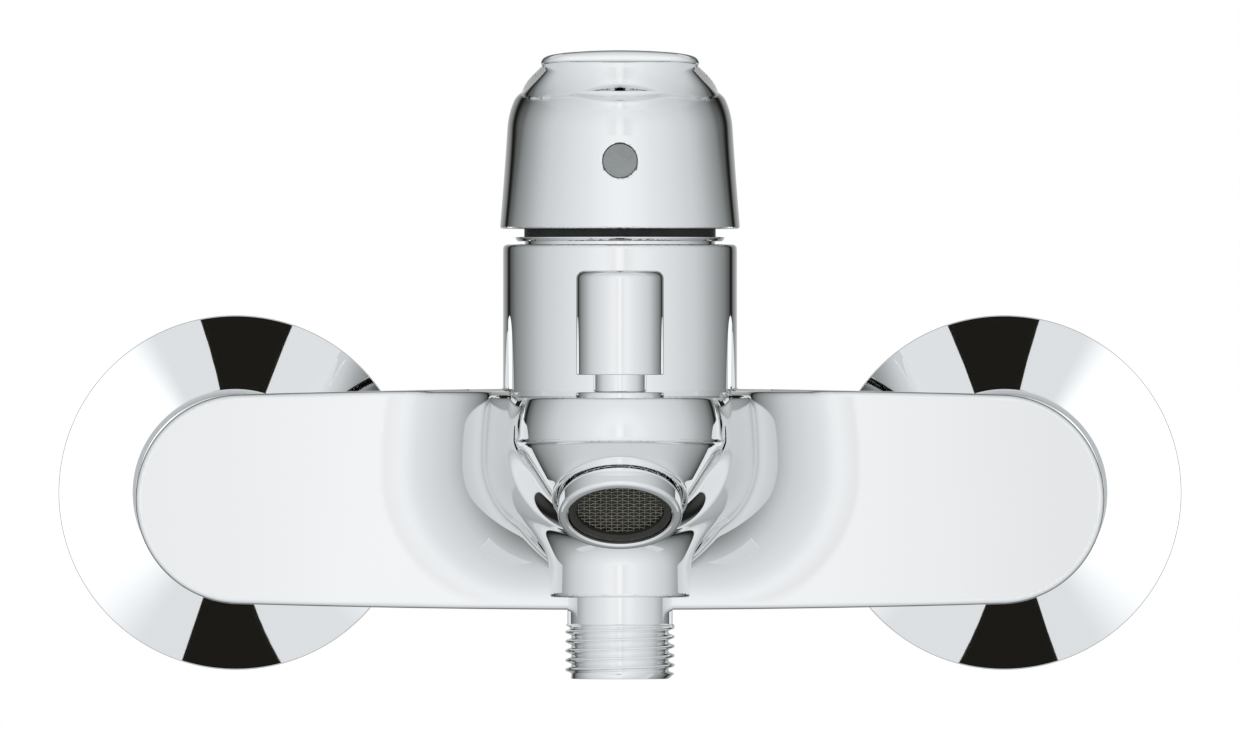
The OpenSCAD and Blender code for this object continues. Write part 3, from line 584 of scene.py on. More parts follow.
def finish_of(name, colour, second, metallic, rough, haze, scale, depth, bump=0.00002, coat=0.0):
    """A finish from the polish marks, with its two tones and its own size of marks."""
    material = bpy.data.materials.new(name)
    material.use_nodes = True
    tree = material.node_tree
    shader = tree.nodes["Principled BSDF"]
    shader.inputs["Metallic"].default_value = metallic
    shader.inputs["Coat Weight"].default_value = coat
    marks = tree.nodes.new("ShaderNodeGroup")
    marks.node_tree = polish_marks
    for entry, value in (("Roughness", rough), ("Haze", haze), ("Scale", scale), ("Depth", depth)):
        marks.inputs[entry].default_value = value
    tone = tree.nodes.new("ShaderNodeMix")
    tone.data_type = "RGBA"
    tone.inputs[6].default_value = colour
    tone.inputs[7].default_value = second
    relief = node_of(tree, "ShaderNodeBump", ("Distance", bump))
    wire(
        tree,
        (marks, "Haze", tone, 0), (tone, 2, shader, "Base Color"),
        (marks, "Roughness", shader, "Roughness"), (marks, "Height", relief, "Height"),
        (relief, 0, shader, "Normal"),
    )
    material.diffuse_color = colour
    return material


chrome = finish_of("chrome", (0.962, 0.963, 0.963, 1), (0.953, 0.955, 0.956, 1),
                   metallic=1.0, rough=0.022, haze=0.012, scale=38.0, depth=0.05, bump=0.000001)


def coated(item, material):
    """Gives a piece its finish, and no other."""
    item.data.materials.clear()
    item.data.materials.append(material)


def fit_out(item, material, body, slot, *nodes):
    """Gives a piece its finish and its body, and takes the place of the CAD nodes it stands for."""
    coated(item, material)
    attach(item, body)
    if nodes:
        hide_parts(*nodes)
    return item


# The nose, with its thin lip round the aerator, is laid out on a finer grid than the rest
cell = 0.62
body_casting = cast_piece("casting", casting, (-94, -132, -24), (94, -33, 50), cell,
                          within=lambda p: -129 - p[1])
fit_out(body_casting, chrome, "body", "chrome", "body_casting")
cell = 0.34
nose = cast_piece("casting_nose", casting, (-21, -160, -15), (21, -126.5, 20), cell,
                  within=lambda p: p[1] + 127.7)
fit_out(nose, chrome, "body", "chrome")

# Handle: a hollow turned cap that grows into a crowned lever, cast in zinc in one piece and chrome
# plated. A grub screw behind the grey plug holds it on the spindle's square.
cap_foot = 51.2
shoulder_r, shoulder_a, shoulder_z = 15.0, 7.54, 70.2
lever_tip_y, lever_tip_z = -131.0, 85.1
lever_tip_half, lever_root_half = 14.7, 19.8
crown_r, crown_fall = 120.0, math.radians(4.5)
under_z, under_fall = 82.7, math.radians(6.2)
lever_root_y, corner_r = -76.5, 5.0
hollow_r, hollow_taper, hollow_top = 21.2, 0.16, 73.0
socket_boss_r, socket_boss_foot, socket_half, socket_top = 7.5, 60.0, 3.75, 72.2
screw_z, plug_r, plug_gap, plug_way = 64.25, 3.25, 0.06, 11.0
front_lean = 0.095


def lever_cap(p):
    """The cap outside: a slightly conical skirt with a round shoulder."""
    slope = math.radians(1.97)
    round_to = np.arctan2(np.abs(p[0]), axis_y - p[1])
    front = 1 - ease((round_to - math.radians(66)) / math.radians(50))
    r = np.hypot(p[0], p[1] - axis_y) - shoulder_a + front_lean * np.maximum(p[2] - cap_foot, 0) * front
    z = p[2] - shoulder_z
    out = r * math.cos(slope) + z * math.sin(slope)
    up = z * math.cos(slope) - r * math.sin(slope)
    skirt = np.where(up > 0, np.hypot(np.maximum(out, 0), up), out) - shoulder_r
    return soft_max(skirt, cap_foot - p[2], 0.5)


def handle_shape(p):
    """How far a point is outside the handle."""
    cap = lever_cap(p)
    x = np.abs(p[0])
    lean_in = (lever_root_half - lever_tip_half) / (lever_root_y - lever_tip_y)
    half = soft_min(lever_tip_half + (p[1] - lever_tip_y) * lean_in, lever_root_half, 1.5)
    side = (x - half) * math.cos(math.atan(lean_in))
    tip = lever_tip_y - p[1]
    plan = round_edge(side, tip, corner_r)
    under = (under_z - (p[1] - lever_tip_y) * math.tan(under_fall) - p[2]) * math.cos(under_fall)
    lever = soft_max(soft_max(plan, under, 0.7 + 4.3 * ease((p[1] + 127) / 14)), p[1] - axis_y, 0.5)
    body = fillet(cap, lever, 0.3 + 5.7 * ease((-76 - p[1]) / 8))
    fall = (p[1] - lever_tip_y) * math.sin(crown_fall) + (p[2] - lever_tip_z) * math.cos(crown_fall)
    crown = np.hypot(p[0], fall + crown_r) - crown_r
    body = soft_max(body, crown, 1.6)
    # Hollow inside, the boss for the spindle, and the way of the grub screw
    r = np.hypot(p[0], p[1] - axis_y)
    inside = r - hollow_r + (p[2] - cap_foot) * hollow_taper
    hollow = joined(
        np.maximum(np.maximum(inside, p[2] - hollow_top), socket_boss_r - r),
        np.maximum(inside, p[2] - socket_boss_foot),
        np.maximum(np.maximum(x, np.abs(p[1] - axis_y)) - socket_half, p[2] - socket_top),
        np.maximum(np.hypot(p[0], p[2] - screw_z) - plug_r - plug_gap, p[1] - axis_y + plug_way),
    )
    return soft_max(body, -hollow, 0.3)


cell = 0.5
handle = cast_piece("handle_cast", handle_shape, (-24, -132, 50), (24, -36, 87), cell)
fit_out(handle, chrome, "lever", "chrome", "handle")

# Plug: a satin grey plastic disc, pushed in flush over the grub screw, as a mark without hot or cold
# colours. Like every round piece from here on, it is turned from a profile.


def rounded(profile):
    """A profile of (r, z, corner radius) with its corners turned into arcs."""
    out = []
    steps, count = 5, len(profile)
    for i in range(count):
        r, z, bend = profile[i]
        here = np.array([r, z])
        before = np.array(profile[i - 1][:2]) - here
        after = np.array(profile[(i + 1) % count][:2]) - here
        if bend == 0:
            out.append((r, z))
            continue
        a, b = before / np.linalg.norm(before), after / np.linalg.norm(after)
        angle = math.acos(np.clip(a @ b, -1, 1))
        cut = min(bend / math.tan(angle / 2), 0.49 * np.linalg.norm(before), 0.49 * np.linalg.norm(after))
        radius = cut * math.tan(angle / 2)
        centre = here + (a + b) / np.linalg.norm(a + b) * radius / math.sin(angle / 2)
        first, last = here + a * cut - centre, here + b * cut - centre
        sweep = math.pi - angle
        for k in range(steps + 1):
            t = k / steps
            v = (first * math.sin((1 - t) * sweep) + last * math.sin(t * sweep)) / math.sin(sweep)
            out.append(tuple(centre + v))
    return out


def growth_tree(name, *labels):
    """An empty Geometry Nodes tree with its two ends, whose inputs are what is named and a material."""
    tree = bpy.data.node_groups.new(name, "GeometryNodeTree")
    kinds = {"Geometry": "NodeSocketGeometry", "Count": "NodeSocketInt", "Material": "NodeSocketMaterial"}
    for label in labels + ("Material",):
        tree.interface.new_socket(label, in_out="INPUT", socket_type=kinds.get(label, "NodeSocketFloat"))
    tree.interface.new_socket("Geometry", in_out="OUTPUT", socket_type="NodeSocketGeometry")
    return tree, tree.nodes.new("NodeGroupInput"), tree.nodes.new("NodeGroupOutput")


def dressed(tree, start, shape, end):
    """Gives a tree's material to what has grown in it, and hands it out."""
    real = tree.nodes.new("GeometryNodeRealizeInstances")
    skin_of = tree.nodes.new("GeometryNodeSetMaterial")
    wire(tree, (shape, 0, real, 0), (real, 0, skin_of, "Geometry"),
         (start, "Material", skin_of, "Material"), (skin_of, 0, end, 0))


def sums(tree, kind, first, second=0.0):
    """A Math node in a tree, fed by numbers or by node outputs, and its result."""
    node = tree.nodes.new("ShaderNodeMath")
    node.operation = kind
    for entry, value in enumerate((first, second)):
        if isinstance(value, (int, float)):
            node.inputs[entry].default_value = value
        else:
            tree.links.new(value, node.inputs[entry])
    return node.outputs[0]


def ramp(tree, value, low, high):
    """Runs smoothly from 0 to 1 while a value runs from low to high."""
    node = tree.nodes.new("ShaderNodeMapRange")
    node.interpolation_type = "SMOOTHSTEP"
    for entry, given in (("Value", value), ("From Min", low), ("From Max", high)):
        if isinstance(given, (int, float)):
            node.inputs[entry].default_value = given
        else:
            tree.links.new(given, node.inputs[entry])
    return node.outputs[0]


# The V groove of a pipe thread, wound round the Z axis, which runs out at both of its ends
tree, start, end = growth_tree("thread_cut", "Geometry", "Pitch", "Depth", "Low", "High", "Least Radius")
thread_cut = tree
at = tree.nodes.new("GeometryNodeInputPosition")
split = tree.nodes.new("ShaderNodeSeparateXYZ")
wire(tree, (at, 0, split, 0))
x, y, z = split.outputs
radius = sums(tree, "SQRT", sums(tree, "ADD", sums(tree, "MULTIPLY", x, x), sums(tree, "MULTIPLY", y, y)))
turn = sums(tree, "DIVIDE", sums(tree, "ARCTAN2", y, x), 2 * math.pi)
phase = sums(tree, "SUBTRACT", sums(tree, "DIVIDE", z, start.outputs["Pitch"]), turn)
groove = ramp(tree, sums(tree, "PINGPONG", phase, 0.5), 0.05, 0.43)
run_in = sums(tree, "MULTIPLY", start.outputs["Pitch"], 0.6)
window = sums(
    tree, "MULTIPLY",
    ramp(tree, z, start.outputs["Low"], sums(tree, "ADD", start.outputs["Low"], run_in)),
    ramp(tree, sums(tree, "MULTIPLY", z, -1.0), sums(tree, "MULTIPLY", start.outputs["High"], -1.0),
         sums(tree, "SUBTRACT", run_in, start.outputs["High"])),
)
cut_in = sums(tree, "MULTIPLY", sums(tree, "MULTIPLY", groove, window), start.outputs["Depth"])
less = sums(tree, "DIVIDE", sums(tree, "MULTIPLY", cut_in, -1.0), radius)
move = tree.nodes.new("ShaderNodeCombineXYZ")
tree.links.new(sums(tree, "MULTIPLY", x, less), move.inputs[0])
tree.links.new(sums(tree, "MULTIPLY", y, less), move.inputs[1])
outer = tree.nodes.new("FunctionNodeCompare")
outer.operation = "GREATER_THAN"
tree.links.new(radius, outer.inputs[0])
shift = tree.nodes.new("GeometryNodeSetPosition")
wire(
    tree,
    (start, "Least Radius", outer, 1), (start, "Geometry", shift, "Geometry"),
    (outer, 0, shift, "Selection"), (move, 0, shift, "Offset"),
)
dressed(tree, start, shift, end)


def grown(item, tree, **values):
    """Puts a Geometry Nodes tree on a piece, with its inputs set by name."""
    growth = item.modifiers.new(tree.name, "NODES")
    growth.node_group = tree
    for entry in tree.interface.items_tree:
        if entry.in_out == "INPUT" and entry.name in values:
            growth[entry.identifier] = values[entry.name]
    return item


def turned(name, profile, place, sides=160, thread=None):
    """A closed ring turned from a profile of (r, z, corner) and put where place says, smooth shaded.
    A thread is (pitch, depth, low, high, least radius), in millimetres along the profile's own axis."""
    rim = rounded(profile)
    angle = np.arange(sides) * 2 * math.pi / sides
    r = np.array([q[0] for q in rim])[:, None]
    z = np.array([q[1] for q in rim])[:, None] * np.ones(sides)
    points = np.stack([(r * np.cos(angle)).ravel(), (r * np.sin(angle)).ravel(), z.ravel()]).T / 1000
    count = len(rim)
    faces = []
    for i in range(count):
        j = (i + 1) % count
        for k in range(sides):
            n = (k + 1) % sides
            faces.append((i * sides + k, i * sides + n, j * sides + n, j * sides + k))
    data = bpy.data.meshes.new(name)
    data.from_pydata(points.tolist(), [], faces)
    item = placed(name, data)
    face_out(data)
    data.shade_smooth()
    if thread:
        pitch, depth, low, high, least = (v / 1000 for v in thread)
        grown(item, thread_cut, **{"Pitch": pitch, "Depth": depth, "Low": low, "High": high,
                                   "Least Radius": least, "Material": chrome})
        plain(item)
    item.data.set_sharp_from_angle(angle=math.radians(60 if thread else 35))
    even = item.modifiers.new("even_normals", "WEIGHTED_NORMAL")
    even.keep_sharp = True
    plain(item)
    item.data.transform(Matrix.Translation((0, 0, lift / 1000)) @ place)
    return item


def face_out(data):
    """Merges doubles and turns every face of a closed mesh outwards."""
    work = bmesh.new()
    work.from_mesh(data)
    bmesh.ops.remove_doubles(work, verts=work.verts, dist=1e-7)
    bmesh.ops.recalc_face_normals(work, faces=work.faces)
    work.to_mesh(data)
    work.free()


plug_grey = finish_of("plug_satin", linear(180, 183, 182), linear(173, 176, 175),
                      metallic=0.0, rough=0.5, haze=0.15, scale=520.0, depth=0.6)
plug_y, plug_lean = axis_y - 21.43, math.radians(90 - 7.2)
plug_at = Matrix.Translation((0, plug_y / 1000, screw_z / 1000)) @ Matrix.Rotation(plug_lean, 4, "X")
plug = turned("index_disc", [(0.01, -2.5, 0), (3.1, -2.5, 0), (plug_r, -2.3, 0.1), (plug_r, 0.05, 0.12),
                              (1.6, 0.17, 0), (0.01, 0.2, 0)], plug_at, sides=96)
fit_out(plug, plug_grey, "lever", "index_grey", "index_plug")

# Rosettes: two brass plates, spun and chrome plated, each with a sleeve that is screwed on its union.
# They mirror the dark cards as wedges, and have a soft white box of their own at each side.
wall_sides = (("left", -inlet_x), ("right", inlet_x))
box_long, box_high, box_x, box_y, box_z = 1.1, 1.9, 0.6, -0.72, 0.06


def at_wall(x, z=0.0):
    """Places a profile round an inlet, with its z running from the wall into the room."""
    return Matrix.Translation((x / 1000, 0, z / 1000)) @ Matrix.Rotation(math.radians(90), 4, "X")


rosettes = bpy.data.collections.new("rosettes")
for side, x in wall_sides:
    rosette = turned("rosette_plate_" + side, [
        (13.3, 13, 0), (17.9, 13, 0), (17.9, 6.1, 0.8), (32.2, 0, 0), (34.6, 0, 0.15), (34.6, 1.2, 0.3),
        (20.1, 7.3, 0.9), (19.3, 8.1, 0.4), (19.3, 16, 0.6), (13.3, 16, 0)], at_wall(x), sides=256)
    fit_out(rosette, chrome, "body", "chrome", "rosette_" + side)
    rosettes.objects.link(rosette)
    beside = 1 if x > 0 else -1
    box = bpy.data.lights.new("side_box_" + side, "AREA")
    box.shape = "RECTANGLE"
    box.size, box.size_y = box_long, box_high
    box.energy = 3.0
    box.use_nodes = True
    tree = box.node_tree
    spot = tree.nodes.new("ShaderNodeNewGeometry")
    parts = tree.nodes.new("ShaderNodeSeparateXYZ")
    wire(tree, (spot, "Parametric", parts, 0))
    up = parts.outputs["Y"]
    edge = sums(tree, "MULTIPLY", ramp(tree, up, 0.02, 0.42), ramp(tree, up, 1.0, 0.72))
    tree.links.new(edge, tree.nodes["Emission"].inputs["Strength"])
    lamp = placed("side_box_" + side, box)
    lamp.location = (box_x * beside, box_y, box_z)
    lamp.rotation_euler = (math.radians(90), 0, math.radians(90) * beside)
    lamp.light_linking.receiver_collection = rosettes
    lamp.visible_camera = False
    lamp.visible_diffuse = False

# Neck: a turned brass ring, chrome plated, closes the gap between tower and handle. A black band lies
# on it and shows as a black line under the cap: painted shade for the dark gap there.
at_tower = Matrix.Translation((0, axis_y / 1000, 0))
# The band's near-black colour is painted shade, standing in for the shadowed gap under the cap
gap_shade_black = finish_of("seal_black", linear(34, 34, 32), linear(26, 26, 25),
                       metallic=0.0, rough=0.35, haze=0.2, scale=300.0, depth=0.1)
collar = turned("neck_collar", [
    (16.9, 47.5, 0), (18.4, 47.5, 0), (18.4, 48.8, 0), (19.8, 48.8, 0.1), (20.2, 49.4, 0.15),
    (20.2, 49.6, 0.08), (18.5, 49.7, 0), (16.9, 49.7, 0)], at_tower)
fit_out(collar, chrome, "body", "chrome", "neck_ring")
band = turned("neck_band", [
    (16.9, 49.7, 0), (18.5, 49.7, 0), (18.5, 51.6, 0.3), (18, 52, 0), (16.9, 52, 0)], at_tower)
fit_out(band, gap_shade_black, "body", "rubber", "neck_band")

# Diverter: a hollow brass knob, turned and chrome plated, that is pulled up over the long neck of its
# gland. The gland is screwed into the spout and ends in a thin flange on it.
at_outlet = Matrix.Translation((0, outlet_y / 1000, 0))
knob = turned("knob_turned", [
    (0.01, 37, 0), (5.15, 37, 0), (5.15, 23.2, 0.1), (5.35, 23, 0.1), (8.45, 23, 0.25),
    (8.45, 43.0, 1.5), (0.01, 43.2, 0)], at_outlet)
fit_out(knob, chrome, "diverter", "chrome", "diverter_knob")
gland = turned("gland_turned", [
    (2.55, 12, 0), (8, 12, 0.3), (8, 18.65, 0), (8.5, 18.65, 0), (8.5, 19.7, 0.35), (5.1, 19.75, 0.3),
    (5.1, 36, 0.4), (2.55, 36, 0)], at_outlet)
fit_out(gland, chrome, "body", "chrome", "diverter_gland")

# Aerator's ring: turned brass, chrome plated and screwed into the mouth, with its lower lip a little
# way out of it. The mouth's own rim is turned too, so that it stays round and sharp.
ring_out = 3.95
at_mouth = Matrix.Translation((mouth + mouth_out * ring_out) / 1000) @ Matrix.Rotation(-chin_tilt, 4, "X")
aerator_ring = turned("aerator_ring", [
    (9.9, 0.3, 0.15), (10.3, 0, 0.2), (11.85, 0, 0.75), (11.85, 5.0, 0.1), (11.9, 5.2, 0), (11.9, 14.35, 0),
    (9, 14.35, 0), (9, 12.85, 0), (9.9, 12.85, 0)], at_mouth)
fit_out(aerator_ring, chrome, "body", "chrome", "aerator_housing")
lip = turned("mouth_lip", [
    (12.45, ring_out, 0.1), (12.9, ring_out, 0.15), (13.0, 5.6, 0), (12.0, 5.6, 0), (12.0, 5.15, 0),
    (12.45, 5.15, 0)], at_mouth)
fit_out(lip, chrome, "body", "chrome")

# Shower outlet: a chromed brass nipple screwed into the boss, with a G1/2 thread for the hose's nut.
# The profile has a close ladder of points where the thread's groove is cut into it.
pipe_r, pipe_pitch, pipe_depth, pipe_least_r = 10.4775, 1.814, 1.162, 10.3
hose_low, hose_high, hose_neck_r = -35.3, -24.7, 10.1
ladder = [(pipe_r, float(z), 0) for z in np.arange(hose_low + 1.1, hose_high - 0.35, pipe_pitch / 16)]
nipple = turned("nipple_turned", [
    (7, hose_low, 0.3), (9.35, hose_low, 0.2), (pipe_r, hose_low + 1.0, 0)] + ladder + [
    (pipe_r, hose_high - 0.3, 0), (hose_neck_r, hose_high, 0), (hose_neck_r, outlet_boss_end, 0),
    (9.45, outlet_boss_end, 0), (9.45, -10, 0), (5.5, -10, 0), (5.5, -15.5, 0), (7, -17, 0)],
    at_outlet, sides=192, thread=(pipe_pitch, pipe_depth, hose_low - 0.4, hose_high - 0.1, pipe_least_r))
fit_out(nipple, chrome, "body", "chrome", "shower_nipple")

# Only the rosettes are meant to mirror the dark cards: for the rest, a pale sheet of light lies on each
sheet_gap = 0.0005
polished = bpy.data.collections.new("polished")
for item in bpy.context.scene.objects:
    if item.type == "MESH" and item.data.materials[0] == chrome and item.name not in rosettes.objects:
        polished.objects.link(item)
sheet_pale, tree, out = studio_material("sheet_pale")
glow = node_of(tree, "ShaderNodeEmission", ("Color", linear(207, 211, 213)))
clear = tree.nodes.new("ShaderNodeBsdfTransparent")
both = tree.nodes.new("ShaderNodeAddShader")
wire(tree, (glow, 0, both, 0), (clear, 0, both, 1), (both, 0, out, 0))
for name, height, back, front in cards:
    near = height - math.copysign(sheet_gap, height)
    for sheet in card_pair("pale_sheet", near, back, front, sheet_pale):
        sheet.light_linking.receiver_collection = polished

# Eccentric unions: brass castings with a pipe thread for the wall at one end and a larger one for
# the nut at the other, their two axes 6 mm apart. They are turned in the wall until both nuts meet.
brass = finish_of("brass_turned", linear(214, 188, 128), linear(190, 160, 102),
                  metallic=1.0, rough=0.16, haze=0.16, scale=90.0, depth=0.5)
union_r, union_bore_r, union_thread_r = 11.5, 7.0, 13.22
nut_flats, nut_low, nut_high = 30.0, -33.0, -17.0


def union_shape(p):
    """How far a point is outside the union's middle, which joins its two axes."""
    off = np.hypot(p[0], p[2] - np.clip(p[2], -lift, 0)) - union_r
    middle = soft_max(off, np.abs(p[1] + 5) - 6.95, 1.2)
    bore = np.minimum(np.maximum(np.hypot(p[0], p[2] + lift) - union_bore_r, -8 - p[1]),
                      np.maximum(np.hypot(p[0], p[2]) - union_bore_r, p[1] + 1))
    return soft_max(middle, -bore, 0.3)


def hexagon(p, flats, low, high):
    """How far a point is outside a hexagon nut on the inlet's axis, with its corners turned off."""
    x, z = np.abs(p[0]), np.abs(p[2])
    sides = np.maximum(x, x * 0.5 + z * 0.866) - flats / 2
    ends = np.abs(p[1] - (low + high) / 2) - (high - low) / 2
    turned_off = (np.hypot(x, z) - flats * 0.5774 + 1.4 + ends) * 0.8
    return soft_max(soft_max(sides, ends, 0.5), turned_off, 0.3)


def nut_shape(p):
    """How far a point is outside the captive nut of a union."""
    hole = np.minimum(np.hypot(p[0], p[2]) - 10.3, np.maximum(np.hypot(p[0], p[2]) - 13.3, -31 - p[1]))
    return soft_max(hexagon(p, nut_flats, nut_low, nut_high), -hole, 0.5)


wall_ladder = [(pipe_r, float(z), 0) for z in np.arange(-17.0, -2.3, pipe_pitch / 12)]
wall_end_profile = [(union_bore_r, -18, 0.3), (9.4, -18, 0.2), (pipe_r, -17.1, 0)] + wall_ladder + [
    (pipe_r, -2.2, 0), (10.2, 0, 0), (union_bore_r, 0, 0)]
nut_ladder = [(union_thread_r, float(z), 0) for z in np.arange(16.2, 25.0, pipe_pitch / 12)]
nut_end_profile = [
    (union_bore_r, 11.9, 0), (13.1, 11.9, 0.3), (13.1, 15.6, 0), (union_thread_r, 16.0, 0)] + nut_ladder + [
    (union_thread_r, 25.1, 0), (12.3, 26, 0.2), (union_bore_r, 26, 0.3)]
cell = 0.55
for side, x in wall_sides:
    beside = Matrix.Translation((x / 1000, 0, 0))
    middle = cast_piece("union_middle_" + side, union_shape, (-12, -13, -18), (12, 3, 12), cell)
    middle.data.transform(beside)
    fit_out(middle, brass, "body", "brass", "s_union_" + side)
    wall_end = turned("union_wall_thread_" + side, wall_end_profile, at_wall(x, -lift), sides=120,
                      thread=(pipe_pitch, pipe_depth, -18.4, -2.2, pipe_least_r))
    fit_out(wall_end, brass, "body", "brass")
    nut_end = turned("union_nut_thread_" + side, nut_end_profile, at_wall(x), sides=120,
                     thread=(pipe_pitch, pipe_depth, 15.8, 26.3, 13.15))
    fit_out(nut_end, brass, "body", "brass")
    nut = cast_piece("union_nut_cast_" + side, nut_shape, (-18, -34, -18), (18, -16, 18), cell)
    nut.data.transform(beside)
    fit_out(nut, brass, "body", "brass", "union_nut_" + side)

# Aerator's inside: a dark moulded insert that mixes air into the water, under a woven steel screen.
insert_dark = finish_of("insert_dark", linear(58, 56, 50), linear(48, 46, 41),
                        metallic=0.0, rough=0.42, haze=0.12, scale=420.0, depth=0.6, bump=0.00003)
wire_steel = finish_of("screen_wire", linear(168, 165, 150), linear(132, 129, 116),
                       metallic=0.55, rough=0.46, haze=0.1, scale=900.0, depth=0.4, bump=0.00001)
insert = turned("aerator_inside", [
    (0.01, 2.55, 0), (8.35, 2.55, 0), (8.35, 1.35, 0.3), (8.9, 0.85, 0.3), (9.8, 0.85, 0.25),
    (9.83, 12.3, 0), (0.01, 12.3, 0)], at_mouth)
fit_out(insert, insert_dark, "body", "grey_plastic", "aerator_insert")


def drawn_wire(tree, start, curve, end, sides):
    """Makes the curve that has grown in a tree into round wire, and hands it out."""
    tube = node_of(tree, "GeometryNodeCurveToMesh", ("Fill Caps", True))
    round_wire = node_of(tree, "GeometryNodeCurvePrimitiveCircle", ("Resolution", sides))
    wire(tree, (start, "Wire", round_wire, "Radius"), (curve, 0, tube, "Curve"),
         (round_wire, 0, tube, "Profile Curve"))
    dressed(tree, start, tube, end)


# Two rows of wires that cross, each cut to the screen's round outline and waved over the other
tree, start, end = growth_tree("woven_screen", "Radius", "Pitch", "Wire", "Wave", "Count")
woven = tree
both = tree.nodes.new("GeometryNodeJoinGeometry")
for sign in (1.0, -1.0):
    row = tree.nodes.new("GeometryNodeMeshLine")
    row.mode = "OFFSET"
    gap, first = tree.nodes.new("ShaderNodeCombineXYZ"), tree.nodes.new("ShaderNodeCombineXYZ")
    half_row = sums(tree, "MULTIPLY", sums(tree, "SUBTRACT", start.outputs["Count"], 1.0), -0.5)
    tree.links.new(start.outputs["Pitch"], gap.inputs[0])
    tree.links.new(sums(tree, "MULTIPLY", half_row, start.outputs["Pitch"]), first.inputs[0])
    line = node_of(tree, "GeometryNodeCurvePrimitiveLine", ("Start", (0, -1, 0)), ("End", (0, 1, 0)))
    lay = tree.nodes.new("GeometryNodeInstanceOnPoints")
    here = tree.nodes.new("GeometryNodeInputPosition")
    apart = tree.nodes.new("ShaderNodeSeparateXYZ")
    long = node_of(tree, "ShaderNodeCombineXYZ", (0, 1.0), (2, 1.0))
    wire(
        tree,
        (start, "Count", row, "Count"), (gap, 0, row, "Offset"), (first, 0, row, "Start Location"),
        (row, 0, lay, "Points"), (line, 0, lay, "Instance"), (here, 0, apart, 0), (long, 0, lay, "Scale"),
    )
    square = sums(tree, "MULTIPLY", start.outputs["Radius"], start.outputs["Radius"])
    off_middle = sums(tree, "MULTIPLY", apart.outputs[0], apart.outputs[0])
    reach = sums(tree, "SQRT", sums(tree, "SUBTRACT", square, off_middle))
    tree.links.new(reach, long.inputs[1])
    loose = tree.nodes.new("GeometryNodeRealizeInstances")
    quarter = math.radians(90) if sign < 0 else 0
    turn_row = node_of(tree, "GeometryNodeTransform", ("Rotation", (0, 0, quarter)))
    dots = node_of(tree, "GeometryNodeResampleCurve", ("Count", 84))
    place = tree.nodes.new("GeometryNodeInputPosition")
    cut = tree.nodes.new("ShaderNodeSeparateXYZ")
    wave = tree.nodes.new("ShaderNodeCombineXYZ")
    bent = tree.nodes.new("GeometryNodeSetPosition")
    wire(
        tree,
        (lay, 0, loose, 0), (loose, 0, turn_row, "Geometry"), (turn_row, 0, dots, "Curve"),
        (place, 0, cut, 0), (dots, 0, bent, "Geometry"), (wave, 0, bent, "Offset"), (bent, 0, both, 0),
    )
    swing = []
    for entry in (0, 1):
        part = sums(tree, "MULTIPLY", cut.outputs[entry], math.pi)
        swing.append(sums(tree, "SINE", sums(tree, "DIVIDE", part, start.outputs["Pitch"])))
    high = sums(tree, "MULTIPLY", sums(tree, "MULTIPLY", swing[0], swing[1]), start.outputs["Wave"])
    tree.links.new(sums(tree, "MULTIPLY", high, sign), wave.inputs[2])
drawn_wire(tree, start, both, end, 6)
screen = placed("screen_woven", bpy.data.meshes.new("screen_woven"))
grown(screen, woven, Radius=0.0083, Pitch=0.00105, Wire=0.0001, Wave=0.0001, Count=16, Material=wire_steel)
plain(screen)
screen.data.shade_smooth()
inside_ring = Matrix.Translation((0, 0, 0.0021))
screen.data.transform(Matrix.Translation((0, 0, lift / 1000)) @ at_mouth @ inside_ring)
fit_out(screen, wire_steel, "body", "screen", "aerator_screen")

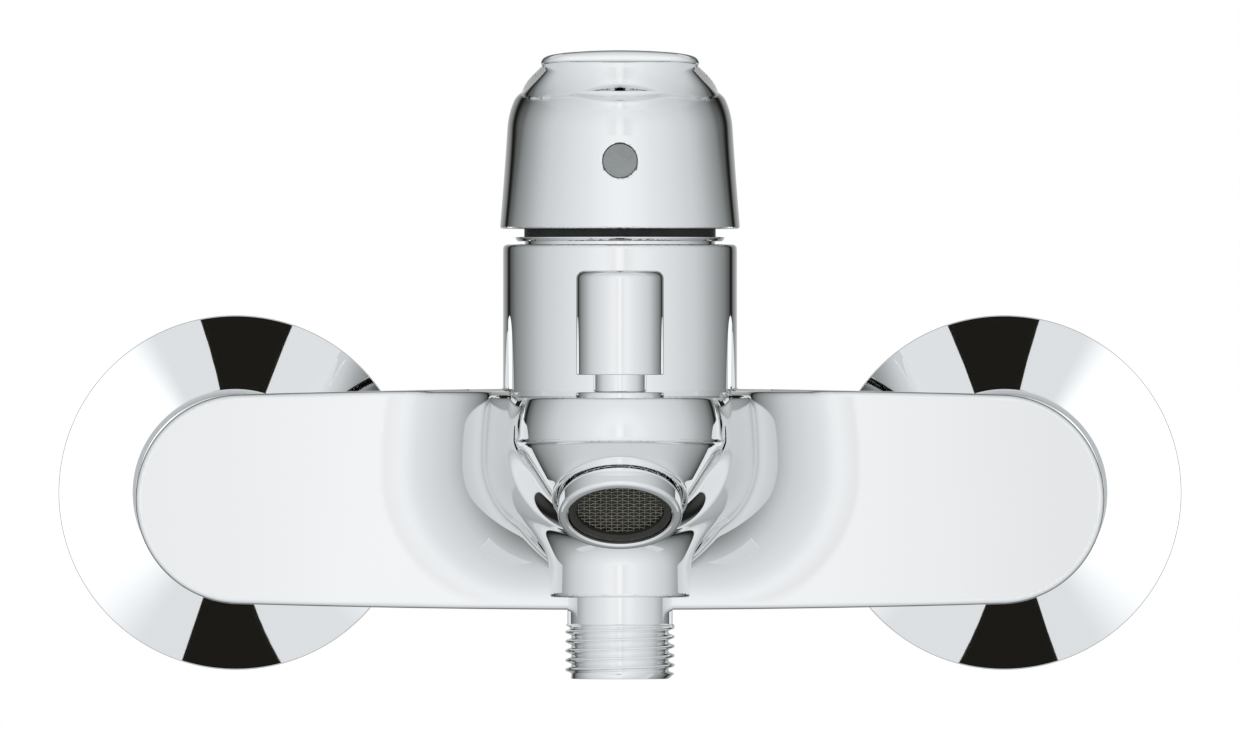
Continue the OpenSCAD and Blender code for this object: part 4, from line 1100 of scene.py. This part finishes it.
# Springs: stainless wire wound on a lathe, one round the diverter's rod and one in the check valve.
steel = finish_of("steel_drawn", linear(176, 177, 179), linear(150, 151, 154),
                  metallic=1.0, rough=0.24, haze=0.1, scale=260.0, depth=0.4, bump=0.00001)
tree, start, end = growth_tree("wound_wire", "Radius", "Wire", "Height", "Turns")
wound = tree
helix = node_of(tree, "GeometryNodeCurveSpiral", ("Resolution", 36))
straight = tree.nodes.new("GeometryNodeSetCurveNormal")
straight.mode = "Z_UP"
wire(
    tree,
    (start, "Turns", helix, "Rotations"), (start, "Radius", helix, "Start Radius"),
    (start, "Radius", helix, "End Radius"), (start, "Height", helix, "Height"), (helix, 0, straight, 0),
)
drawn_wire(tree, start, straight, end, 12)
for name, mid_r, wire_r, turns, node, joint, travel in (
        ("rod_spring", 3.6, 0.4, 7.0, "diverter_spring", "diverter_pull", 0.007),
        ("valve_spring", 3.2, 0.35, 5.0, "check_valve_spring", "check_valve", 0.0025)):
    low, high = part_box(node)
    spring = placed(name, bpy.data.meshes.new(name))
    grown(spring, wound, Radius=mid_r / 1000, Wire=wire_r / 1000,
          Height=high[2] - low[2] - 2 * wire_r / 1000, Turns=turns, Material=steel)
    plain(spring)
    face_out(spring.data)
    spring.data.shade_smooth()
    spring.data.transform(Matrix.Translation((0, outlet_y / 1000, low[2] + wire_r / 1000)))
    fit_out(spring, steel, "body", "stainless", node)
    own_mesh(spring)

# Pieces inside, and those whose plain turned shape needs no more than its own finish: cartridge of
# moulded acetal with lapped ceramic discs, steel spindle and rod, rubber seals, brass valve seats.
seal_black = finish_of("rubber_moulded", linear(30, 30, 30), linear(22, 22, 22),
                       metallic=0.0, rough=0.62, haze=0.2, scale=700.0, depth=0.8, bump=0.00004)
acetal_white = finish_of("acetal_white", linear(222, 221, 212), linear(212, 210, 198),
                         metallic=0.0, rough=0.34, haze=0.15, scale=260.0, depth=0.5, bump=0.00003)
nylon_grey = finish_of("nylon_grey", linear(112, 114, 114), linear(96, 98, 99),
                       metallic=0.0, rough=0.44, haze=0.2, scale=480.0, depth=0.8, bump=0.00004)
ceramic_white = finish_of("ceramic_lapped", linear(240, 238, 230), linear(232, 229, 218),
                          metallic=0.0, rough=0.12, haze=0.1, scale=150.0, depth=0.3, bump=0.00001,
                          coat=0.3)
finishes = {
    seal_black: ("union_washer_left", "union_washer_right", "cartridge_port_seals", "diverter_seals",
                 "diverter_o_rings", "check_valve_o_ring", "aerator_washer"),
    acetal_white: ("cartridge_base", "cartridge_housing", "check_valve_housing"),
    nylon_grey: ("disc_carrier", "cartridge_turret", "check_valve_poppet"),
    ceramic_white: ("fixed_ceramic_disc", "moving_ceramic_disc"),
    steel: ("inlet_strainer_left", "inlet_strainer_right", "spindle", "spindle_pin", "handle_grub_screw",
            "diverter_rod"),
    brass: ("inlet_nipple_left", "inlet_nipple_right", "cartridge_nut", "diverter_valve_head"),
}
for finish, names in finishes.items():
    for name in names:
        coated(bpy.data.objects[name], finish)
